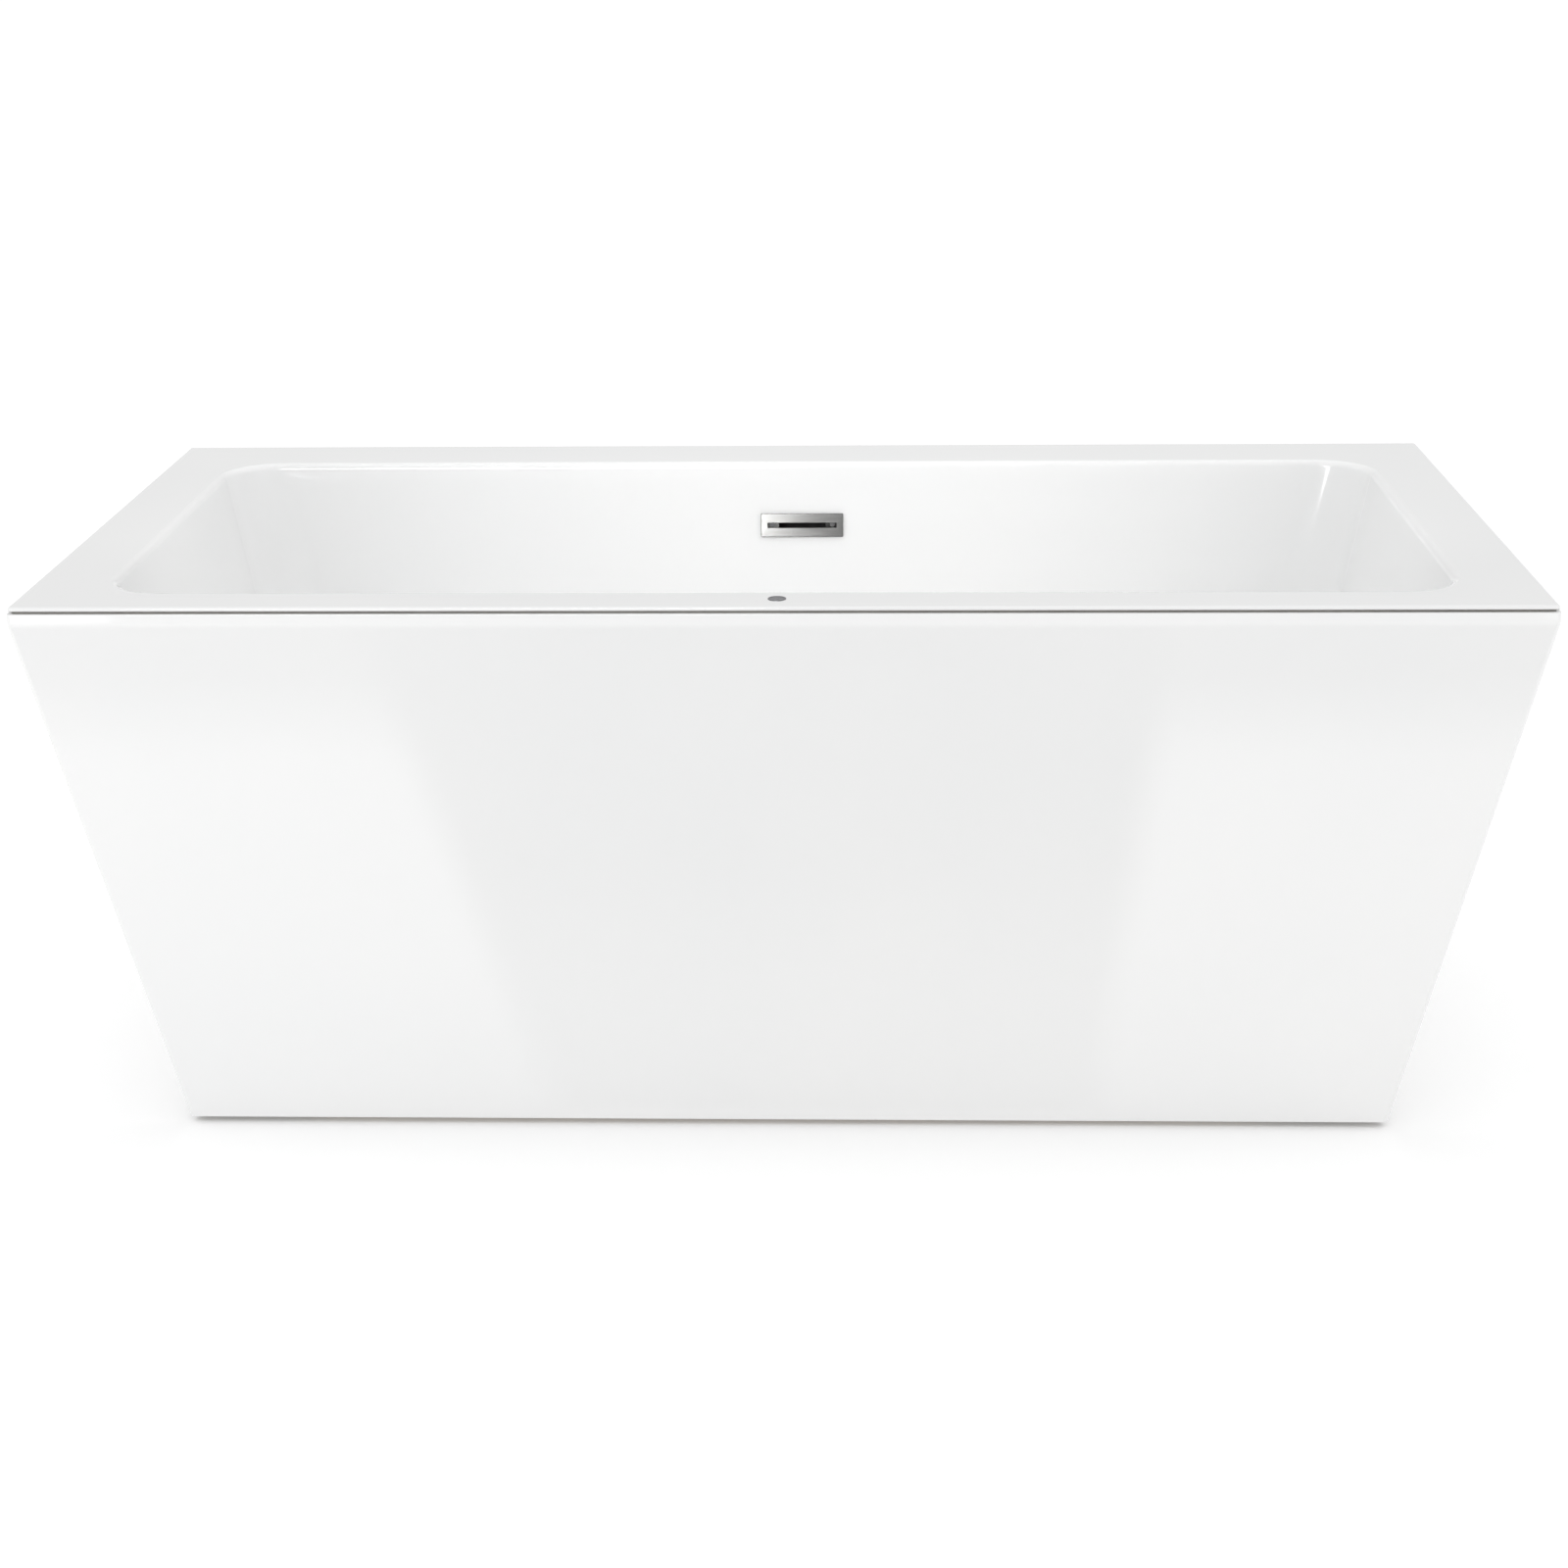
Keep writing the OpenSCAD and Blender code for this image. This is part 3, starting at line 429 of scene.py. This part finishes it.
def shade(piece, sharp=SHARP):
    """Smooth shading that keeps every edge that turns by more than sharp degrees."""
    piece.data.shade_smooth()
    piece.data.set_sharp_from_angle(angle=math.radians(sharp))
    weighted = piece.modifiers.new("weighted_normals", "WEIGHTED_NORMAL")
    weighted.keep_sharp = True


def lathe(name, profile, slot, centre):
    """A profile of (radius, z) points, from axis to axis, turned about the Z axis through centre."""
    steps = 96
    bm = bmesh.new()
    columns = []
    for i in range(steps):
        a = math.tau * i / steps
        columns.append([
            bm.verts.new((centre.x + r * math.cos(a), centre.y + r * math.sin(a), z))
            for r, z in profile
        ])
    for a, b in zip(columns, columns[1:] + columns[:1]):
        for k in range(len(profile) - 1):
            bm.faces.new((a[k], b[k], b[k + 1], a[k + 1]))
    return solid(name, bm, slot)


def arc(cx, cz, r, start, end, steps):
    """Points along an arc in a profile, from start to end degrees."""
    return [
        (cx + r * math.cos(math.radians(start + (end - start) * i / steps)),
         cz + r * math.sin(math.radians(start + (end - start) * i / steps)))
        for i in range(steps + 1)
    ]


def cut(piece, cutter):
    """Takes the cutter out of the piece, and leaves the result in the piece's mesh."""
    piece.modifiers.clear()
    hole = piece.modifiers.new("cut", "BOOLEAN")
    hole.operation = "DIFFERENCE"
    hole.solver = "EXACT"
    hole.object = cutter
    bpy.context.view_layer.update()
    graph = bpy.context.evaluated_depsgraph_get()
    mesh = bpy.data.meshes.new_from_object(piece.evaluated_get(graph))
    piece.modifiers.clear()
    piece.data = mesh
    bpy.data.objects.remove(cutter)
    shade(piece)


# ---------- Basin ----------

def wall_half(z, top, draft, r, base):
    """Half size, at height z, of a wall that leans by draft and ends in a fillet of radius r."""
    centre = base + r
    flat = top - (BATH_H - centre) * math.tan(draft) - r / math.cos(draft)
    if z < centre - r * math.sin(draft):
        return flat + math.sqrt(max(0.0, r * r - (centre - z) ** 2))
    return top - (BATH_H - z) * math.tan(draft)


def basin_section(z, t):
    """The basin's surface at height z, moved out by t: z, half length, half width, corner radius."""
    base = FLOOR_Z - t
    r = FLOOR_FILLET + t
    top_y = WALL_Y + t / math.cos(SIDE_DRAFT)
    hx = wall_half(z, WALL_X + t / math.cos(END_DRAFT), END_DRAFT, r, base)
    hy = wall_half(z, top_y, SIDE_DRAFT, r, base)
    lean = top_y - (BATH_H - z) * math.tan(SIDE_DRAFT) - hy
    mix = (BATH_H - z) / (BATH_H - base)
    return z, hx, hy, CORNER_TOP * (1 - mix) + CORNER_FLOOR * mix + t - lean


def basin_heights(t, top, fillet_steps=16, wall_steps=6):
    """Heights of the basin's sections from its floor up to top, close together round the fillet."""
    r = FLOOR_FILLET + t
    base = FLOOR_Z - t
    last = 90 - math.degrees(min(END_DRAFT, SIDE_DRAFT))
    round_part = [
        base + r * (1 - math.cos(math.radians(last * i / fillet_steps))) for i in range(fillet_steps + 1)
    ]
    start = round_part[-1]
    return round_part + [start + (top - start) * (i + 1) / wall_steps for i in range(wall_steps)]


def lip_rings(steps=8):
    """The rounded inner edge of the deck."""
    rings = []
    _, hx, hy, r = basin_section(BATH_H, 0)
    for i in range(steps + 1):
        a = math.radians(90 * i / steps)
        out = LIP_R * (1 - math.cos(a))
        drop = LIP_R - LIP_R * math.sin(a)
        rings.append(ring(
            BATH_H - drop, hx - drop * math.tan(END_DRAFT) + out,
            hy - drop * math.tan(SIDE_DRAFT) + out, r + out, BASIN_CY,
        ))
    return rings


def deck_edge_rings(steps=6):
    hx, hy = BASIN_HIGH.x, BASIN_HIGH.y
    rings = []
    for i in range(steps + 1):
        a = math.radians(90 - 90 * i / steps)
        back = DECK_EDGE_R * (1 - math.cos(a))
        rings.append(ring(
            BATH_H - DECK_EDGE_R * (1 - math.sin(a)), hx - back, hy - back, DECK_CORNER - back,
        ))
    return rings


def far_wall(x, y, z):
    """A place given from the overflow trim's centre: y into the wall, z up along it."""
    centre = Vector((DRAIN.x, BASIN_CY + WALL_Y - TRIM_DROP * math.tan(SIDE_DRAFT), BATH_H - TRIM_DROP))
    return centre + Matrix.Rotation(-SIDE_DRAFT, 3, "X") @ Vector((x, y, z))


def tray_hole(slot, near, far):
    """The hole through the far wall for the overflow's tray, as a cutter."""
    corner = 0.001
    outline = rounded(TRAY_W / 2 + TRAY_GAP, TRAY_H / 2 + TRAY_GAP, corner)
    rings = [[far_wall(x, y, z) for x, z in outline] for y in (near, far)]
    return skin("cutter", rings, slot, closed=False, cap=True)


def basin():
    before, past = 0.008, 0.003       # how far the cutter stands out of the wall on each side
    dish_slope = 0.0005
    deck_z = BATH_H - SHEET
    floor_rings = [
        round_ring(FLOOR_Z - SHEET, BARREL_HOLE, DRAIN),
        round_ring(FLOOR_Z - DISH_H, BARREL_HOLE, DRAIN),
        round_ring(FLOOR_Z - DISH_H, DISH_R - dish_slope, DRAIN),
        round_ring(FLOOR_Z, DISH_R, DRAIN),
    ]
    inside = [ring(*basin_section(z, 0), BASIN_CY) for z in basin_heights(0, BATH_H - LIP_R)[:-1]]
    outside = [ring(*basin_section(z, SHEET), BASIN_CY) for z in basin_heights(SHEET, deck_z)]
    under_edge = [ring(deck_z, BASIN_HIGH.x, BASIN_HIGH.y, DECK_CORNER)]
    piece = skin(
        "basin", floor_rings + inside + lip_rings() + deck_edge_rings() + under_edge + outside[::-1],
        "acrylic",
    )
    cut(piece, tray_hole("acrylic", -before, SHEET + past))
    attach(piece, "tub")
    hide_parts("basin_shell")


def basin_backing():
    past = 0.003                      # how far the cutter stands out behind the wall
    clear = 0.004                     # between the backing's flange and the skirt's
    t = SHEET + FILM
    out = t + BASIN_FRP
    top = BATH_H - SHEET - FILM
    under = top - BASIN_FRP
    hx, hy = SKIRT_HIGH.x - FLANGE_W - clear, SKIRT_HIGH.y - FLANGE_W - clear
    hole = [round_ring(FLOOR_Z - out, BARREL_HOLE, DRAIN), round_ring(FLOOR_Z - t, BARREL_HOLE, DRAIN)]
    inside = [ring(*basin_section(z, t), BASIN_CY) for z in basin_heights(t, top)]
    flange = [ring(top, hx, hy, DECK_CORNER), ring(under, hx, hy, DECK_CORNER)]
    outside = [ring(*basin_section(z, out), BASIN_CY) for z in basin_heights(out, under)]
    piece = skin("basin_backing", hole + inside + flange + outside[::-1], "laminate")
    cut(piece, tray_hole("laminate", 0.001, out + past))
    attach(piece, "tub")
    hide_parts("basin_laminate")


# ---------- Skirt ----------

def skirt_ring(z, t):
    """The skirt's outline at height z, moved in by t."""
    top, bottom = SKIRT_HIGH.z, SKIRT_LOW.z
    smallest = 0.001
    lean = max(0.0, top - BAND_H - z) / (top - BAND_H - bottom)
    r = max(smallest, SKIRT_CORNER - t)
    return ring(z, SKIRT_HIGH.x - t - END_TAPER * lean, SKIRT_HIGH.y - t - SIDE_TAPER * lean, r)


def skirt():
    top, bottom = SKIRT_HIGH.z, SKIRT_LOW.z
    edge, foot_edge = 0.001, 0.0012   # the round of the upper and of the lower edge
    bend_low, bend_high, bend_in = 0.004, 0.003, 0.0001
    band = top - BAND_H
    levels = 8                        # of the leaning side
    lower_edge = [
        skirt_ring(bottom, foot_edge),
        skirt_ring(bottom + foot_edge / 3, foot_edge / 3),
        skirt_ring(bottom + foot_edge, 0),
    ]
    side = [skirt_ring(bottom + (band - bottom) * i / levels, 0) for i in range(1, levels)]
    bend = [
        skirt_ring(band - bend_low, 0), skirt_ring(band, bend_in), skirt_ring(band + bend_high, 0),
    ]
    top_edge = []
    for degrees in range(0, 91, 15):
        a = math.radians(degrees)
        top_edge.append(skirt_ring(top - edge + edge * math.sin(a), edge * (1 - math.cos(a))))
    inner = (SKIRT_HIGH.x - FLANGE_W, SKIRT_HIGH.y - FLANGE_W, DECK_CORNER)
    piece = skin("skirt", lower_edge + side + bend + top_edge + [
        ring(top, *inner), ring(top - SHEET, *inner),
        skirt_ring(top - SHEET, SHEET), skirt_ring(band, SHEET), skirt_ring(bottom, SHEET),
    ], "acrylic")
    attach(piece, "tub")
    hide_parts("skirt_shell")


def skirt_backing():
    t = SHEET + FILM
    out = t + SKIRT_FRP
    top = SKIRT_HIGH.z - t
    low = SKIRT_LOW.z + 0.006         # stops short of the skirt's lower edge
    band = SKIRT_HIGH.z - BAND_H
    inner = (SKIRT_HIGH.x - FLANGE_W, SKIRT_HIGH.y - FLANGE_W, DECK_CORNER)
    rings = [
        skirt_ring(low, t), skirt_ring(band, t), skirt_ring(top, t), ring(top, *inner),
        ring(top - SKIRT_FRP, *inner),
        skirt_ring(top - SKIRT_FRP, out), skirt_ring(band, out), skirt_ring(low, out),
    ]
    piece = skin("skirt_backing", rings, "laminate")
    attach(piece, "tub")
    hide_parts("skirt_laminate")


def seam():
    """The sealant joint: a strip whose outer face is drawn in between the deck and the skirt."""
    steps = 8
    width = 0.018
    hollow = 0.0006
    low, high = SEAL_LOW.z, SEAL_HIGH.z
    outer = []
    for i in range(steps + 1):
        u = i / steps
        z = low + (high - low) * u
        back = hollow * math.sin(math.pi * u)
        outer.append(ring(z, SEAL_HIGH.x - back, SEAL_HIGH.y - back, DECK_CORNER - back))
    inner = [
        ring(z, SEAL_HIGH.x - width, SEAL_HIGH.y - width, DECK_CORNER) for z in (high, low)
    ]
    piece = skin("seam", outer + inner, "sealant", sharp=50)
    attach(piece, "tub")
    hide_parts("rim_seal")


def badge():
    """A blank disc with a raised rim."""
    r = (BADGE_HIGH.x - BADGE_LOW.x) / 2
    low, high = BADGE_LOW.z, BADGE_HIGH.z
    centre = Vector(((BADGE_HIGH.x + BADGE_LOW.x) / 2, (BADGE_HIGH.y + BADGE_LOW.y) / 2, 0))
    edge = 0.0003
    rim, slope, dish = 0.0016, 0.0004, 0.0003
    profile = [(0, low), (r, low)] + arc(r - edge, high - edge, edge, 0, 90, 5) + [
        (r - rim, high), (r - rim - slope, high - dish), (0, high - dish),
    ]
    piece = lathe("badge", profile, "badge_metal", centre)
    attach(piece, "tub")
    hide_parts("rim_badge")


# ---------- Overflow ----------

def trim_ring(y, w, h, r):
    return [far_wall(x, y, z) for x, z in rounded(w / 2, h / 2, r, steps=6)]


def overflow_trim():
    """A flat plate with a slot, and a shallow tray behind it with an outlet in its floor."""
    edge, lip = 0.0008, 0.0003
    corner, lip_corner, slot_corner = 0.0014, 0.0008, 0.0006
    wall = 0.0015
    behind_slot = -0.001
    back_floor = TRAY_DEPTH - 0.002
    outlet = (0.056, 0.008, slot_corner)
    inside = (TRAY_W - 2 * wall, TRAY_H - 2 * wall, slot_corner)
    front_edge = []
    for degrees in range(0, 91, 15):
        a = math.radians(degrees)
        less = 2 * edge * (1 - math.cos(a))
        front_edge.append(
            trim_ring(-TRIM_T + edge * (1 - math.sin(a)), TRIM_W - less, TRIM_H - less, corner)
        )
    rings = [trim_ring(0, TRIM_W, TRIM_H, corner)] + front_edge + [
        trim_ring(-TRIM_T, SLOT_W + 2 * lip, SLOT_H + 2 * lip, lip_corner),
        trim_ring(-TRIM_T + lip, SLOT_W, SLOT_H, slot_corner),
        trim_ring(behind_slot, SLOT_W, SLOT_H, slot_corner),
        trim_ring(behind_slot, *inside),
        trim_ring(back_floor, *inside),
        trim_ring(back_floor, *outlet),
        trim_ring(TRAY_DEPTH, *outlet),
        trim_ring(TRAY_DEPTH, TRAY_W, TRAY_H, slot_corner),
        trim_ring(0, TRAY_W, TRAY_H, slot_corner),
    ]
    piece = skin("overflow_plate", rings, "chrome_trim")
    brush = piece.data.uv_layers.new(name=BRUSHED)
    for loop in piece.data.loops:
        place = piece.data.vertices[loop.vertex_index].co
        brush.data[loop.index].uv = (place.z, place.x)
    # the plate's darkened chrome, a painted reflection
    piece.data.materials[0] = brushed_chrome_painted_shade()
    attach(piece, "tub")
    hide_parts("overflow_trim")


def hose_route():
    """The hose's centre line, (y, z), from the overflow's spout down and round into the tee."""
    straight = 0.010                  # below the spout, before the hose bends
    falls, arcs = 10, 12
    turn_y, turn_z = TEE_HIGH.y + HOSE_GRIP, TEE_INLET_Z + HOSE_BEND
    start = far_wall(0, SPOUT_L, -SPOUT_DROP)
    free = far_wall(0, SPOUT_L, -SPOUT_DROP - HOSE_GRIP - straight)
    points = [start]
    for i in range(falls + 1):
        u = i / falls
        ease = u * u * (3 - 2 * u)
        points.append(Vector((
            DRAIN.x, free.y + (turn_y + HOSE_BEND - free.y) * ease, free.z + (turn_z - free.z) * u,
        )))
    for i in range(1, arcs + 1):
        a = math.radians(-90 * i / arcs)
        points.append(Vector((
            DRAIN.x, turn_y + HOSE_BEND * math.cos(a), turn_z + HOSE_BEND * math.sin(a),
        )))
    points.append(Vector((DRAIN.x, TEE_HIGH.y - HOSE_GRIP, TEE_INLET_Z)))
    return points


def along(points, step):
    """Points and headings at even steps along a line."""
    lengths = [0.0]
    for a, b in zip(points, points[1:]):
        lengths.append(lengths[-1] + (b - a).length)
    count = max(2, round(lengths[-1] / step))
    out = []
    k = 0
    for i in range(count + 1):
        s = lengths[-1] * i / count
        while k < len(points) - 2 and lengths[k + 1] < s:
            k += 1
        u = (s - lengths[k]) / (lengths[k + 1] - lengths[k])
        out.append(points[k].lerp(points[k + 1], u))
    headings = [(out[min(i + 1, count)] - out[max(i - 1, 0)]).normalized() for i in range(count + 1)]
    return out, headings, lengths[-1]


def hose():
    """A ribbed hose with plain cuffs where the clamps hold it."""
    outer, inner, rib = 0.0185, 0.0161, 0.0016
    pitch, cuff, per_rib = 0.006, 0.034, 6
    sides = 40
    places, headings, length = along(hose_route(), pitch / per_rib)
    turns = [math.tau * j / sides for j in range(sides)]

    def circle(centre, heading, r):
        side, across = Vector((1, 0, 0)), Vector((0, -heading.z, heading.y))
        return [centre + side * (r * math.sin(a)) + across * (r * math.cos(a)) for a in turns]

    outside = []
    for i, (p, h) in enumerate(zip(places, headings)):
        s = length * i / (len(places) - 1)
        plain = s < cuff or s > length - cuff
        depth = 0 if plain else rib * (0.5 - 0.5 * math.cos(math.tau * (s - cuff) / pitch))
        outside.append(circle(p, h, outer - depth))
    centre_line = list(zip(places, headings))
    inside = [circle(p, h, inner) for p, h in centre_line[::per_rib] + centre_line[-1:]]
    piece = skin("hose", outside + inside[::-1], "hose_plastic", sharp=60)
    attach(piece, "tub")
    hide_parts("overflow_hose")


# ---------- Stopper spring ----------

def spring():
    """A round wire wound on a helix."""
    wire = 0.0005
    turns, per_turn, sides = 5, 32, 12
    r = (SPRING_HIGH.x - SPRING_LOW.x) / 2 - wire
    low, high = SPRING_LOW.z + wire, SPRING_HIGH.z - wire
    count = turns * per_turn
    around = [math.tau * j / sides for j in range(sides)]
    up = Vector((0, 0, 1))
    rings = []
    for i in range(count + 1):
        a = math.tau * i / per_turn
        out = Vector((math.cos(a), math.sin(a), 0))
        middle = DRAIN + out * r + up * (low + (high - low) * i / count)
        rings.append([middle + out * (wire * math.cos(b)) + up * (wire * math.sin(b)) for b in around])
    piece = skin("spring", rings, "zinc_steel", closed=False, cap=True, sharp=60)
    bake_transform(piece)
    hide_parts("stopper_spring")


# ---------- Levelling studs ----------

def stud(i):
    """A ball-ended stud with a hexagon for a spanner and a cut thread, as one turned surface."""
    low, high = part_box(f"foot_stud_{i}")
    centre = Vector(((low.x + high.x) / 2, (low.y + high.y) / 2, 0))
    ball_r, ball_z = 0.007, 0.012
    hexagon_low, hexagon_high, hexagon_apothem = 0.026, 0.034, 0.0075
    edge = 0.0006
    major, minor, pitch = 0.006, 0.0051, 0.00175
    neck, neck_z, shank = 0.0050, 0.018, 0.0056
    thread_low, run_out, point = 0.036, 0.002, 0.0008
    undercut, tip = 0.0005, 0.0006
    sides, rings_per_turn = 48, 6
    angles = [math.tau * j / sides for j in range(sides)]

    def turned(z, r):
        return [Vector((centre.x + r * math.cos(a), centre.y + r * math.sin(a), z)) for a in angles]

    def hexagon(z, back):
        ring_points = []
        for a in angles:
            r = (hexagon_apothem - back) / math.cos((a % (math.tau / 6)) - math.tau / 12)
            ring_points.append(Vector((centre.x + r * math.cos(a), centre.y + r * math.sin(a), z)))
        return ring_points

    def threaded(z):
        fade = min(1, (z - thread_low) / run_out, (high.z - point - z) / run_out)
        ring_points = []
        for a in angles:
            crest = 0.5 - 0.5 * math.cos(math.tau * (z / pitch) - a)
            r = minor + (major - minor) * crest * max(0.0, fade)
            ring_points.append(Vector((centre.x + r * math.cos(a), centre.y + r * math.sin(a), z)))
        return ring_points

    count = round((high.z - point - thread_low) / pitch * rings_per_turn)
    heights = [thread_low + (high.z - point - thread_low) * k / count for k in range(count + 1)]
    rings = [turned(z, r) for r, z in arc(0, ball_z, ball_r, -85, 45, 14)]
    rings += [turned(neck_z, neck), turned(hexagon_low, shank)]
    rings += [
        hexagon(hexagon_low, edge), hexagon(hexagon_low + edge, 0),
        hexagon(hexagon_high - edge, 0), hexagon(hexagon_high, edge),
    ]
    rings += [turned(hexagon_high, shank), turned(thread_low - undercut, minor)]
    rings += [threaded(z) for z in heights] + [turned(high.z, minor - tip)]
    piece = skin(f"stud_{i}_screw", rings, "zinc_steel", closed=False, cap=True, sharp=50)
    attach(piece, f"stud_{i}")
    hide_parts(f"foot_stud_{i}")


# ---------- Studio ----------

def studio():
    """A wide pale floor under a white sky that is a little darker overhead."""
    half = 60.0
    below = 0.0003                    # under the skirt's lower edge
    bm = bmesh.new()
    bmesh.ops.create_grid(bm, x_segments=24, y_segments=24, size=half)
    mesh = bpy.data.meshes.new("studio_floor")
    bm.to_mesh(mesh)
    bm.free()
    floor = bpy.data.objects.new("studio_floor", mesh)
    floor.location.z = -below
    bpy.context.scene.collection.objects.link(floor)
    mesh.materials.append(studio_floor())

    world = bpy.data.worlds.new("studio")
    bpy.context.scene.world = world
    world.use_nodes = True
    tree = world.node_tree
    place = tree.nodes.new("ShaderNodeTexCoord")
    split = tree.nodes.new("ShaderNodeSeparateXYZ")
    ramp = tree.nodes.new("ShaderNodeValToRGB")
    stops = ramp.color_ramp.elements
    stops.new(0.5)
    stops.new(0.5)
    for stop, (height, white) in zip(stops, ((0.02, 1.0), (0.15, 0.72), (0.40, 0.74), (1.0, 1.28))):
        stop.position = height
        stop.color = (white, white, white, 1)
    tree.links.new(place.outputs["Generated"], split.inputs["Vector"])
    tree.links.new(split.outputs["Z"], ramp.inputs["Fac"])
    tree.links.new(ramp.outputs["Color"], tree.nodes["Background"].inputs["Color"])
    tree.nodes["Background"].inputs["Strength"].default_value = 1.0


def softbox(name, place, target, width, height, power, spread=180):
    """A soft light panel at place that shines at target and isn't seen itself."""
    light = bpy.data.lights.new(name, "AREA")
    light.shape = "RECTANGLE"
    light.size = width
    light.size_y = height
    light.energy = power
    light.spread = math.radians(spread)
    lamp = bpy.data.objects.new(name, light)
    bpy.context.scene.collection.objects.link(lamp)
    lamp.visible_camera = False
    turn = (Vector(target) - Vector(place)).to_track_quat("-Z", "Y").to_matrix().to_4x4()
    lamp.matrix_world = Matrix.Translation(place) @ turn
    return lamp


def light_only(lamp, piece_name):
    """Keeps a lamp's light to one piece."""
    lit = bpy.data.collections.new(lamp.name)
    lit.objects.link(bpy.data.objects[piece_name])
    lamp.light_linking.receiver_collection = lit


def dark_card(name, rows, soft, lift):
    """A dark cloth with soft edges on the floor, which shows only in the bath's gloss.

    Each row is the cloth at one distance from the bath: y, its left and right edge, its cover.
    """
    bm = bmesh.new()
    covers = []
    lines = []
    for y, left, right, full in rows:
        places = (left - soft, left + soft, right - soft, right + soft)
        lines.append([bm.verts.new((x, y, lift)) for x in places])
        covers += [0.0, full, full, 0.0]
    for a, b in zip(lines, lines[1:]):
        for k in range(len(a) - 1):
            bm.faces.new((a[k], b[k], b[k + 1], a[k + 1]))
    mesh = bpy.data.meshes.new(name)
    bm.to_mesh(mesh)
    bm.free()
    amounts = mesh.color_attributes.new(name="cover", type="FLOAT_COLOR", domain="POINT")
    for point, cover in zip(amounts.data, covers):
        point.color = (cover, cover, cover, 1)
    card = bpy.data.objects.new(name, mesh)
    bpy.context.scene.collection.objects.link(card)
    s = Shader(name, (0, 0, 0), 1.0)
    s.set("Specular IOR Level", 0.0)
    read = s.node("ShaderNodeAttribute")
    read.attribute_name = "cover"
    s.link(read.outputs["Fac"], s.bsdf.inputs["Alpha"])
    mesh.materials.append(s.material)
    card.visible_camera = False
    card.visible_diffuse = False
    card.visible_shadow = False


studio()

# Weak fills for the skirt's front, and a low strip that lights the far wall of the basin
softbox("fill_left", (-1.5, -1.9, 0.35), (-0.55, -0.35, 0.2), 0.8, 0.6, 3.2)
softbox("fill_right", (1.5, -1.9, 0.35), (0.55, -0.35, 0.2), 0.8, 0.6, 1.0)
pool = softbox("pool", (0.0, -0.28, 0.74), (0.0, 0.27, 0.48), 1.0, 0.08, 0.9, 130)
pool.visible_glossy = False

# Gloss only: highlights in the basin's corners, a broad dark area on the skirt and a band above it
glint = softbox("glint", (-0.75, -2.95, 1.65), (0.0, 0.27, 0.5), 1.3, 1.0, 32)
glint.visible_diffuse = False
dark_card("near_card", (
    (-0.33, -0.24, 0.33, 0.42),
    (-0.78, -0.41, 0.405, 1.0),
    (-1.42, -0.65, 0.51, 1.0),
), 0.022, 0.0005)
dark_card("far_card", (
    (-1.02, -1.7, 1.7, 0.0),
    (-1.22, -1.7, 1.7, 0.85),
    (-1.45, -1.7, 1.7, 0.85),
    (-1.80, -1.7, 1.7, 0.0),
), 0.2, 0.001)

finish_cad_nodes()
basin()
basin_backing()
skirt()
skirt_backing()
seam()
badge()
overflow_trim()
hose()
spring()
for number in range(1, 5):
    stud(number)

# A highlight across the overflow plate
plate_glint = softbox("plate_glint", (-0.46, -2.95, 1.3), (0.0, 0.27, 0.51), 0.64, 0.8, 36)
light_only(plate_glint, "overflow_plate")

bpy.context.scene.view_settings.view_transform = "Standard"
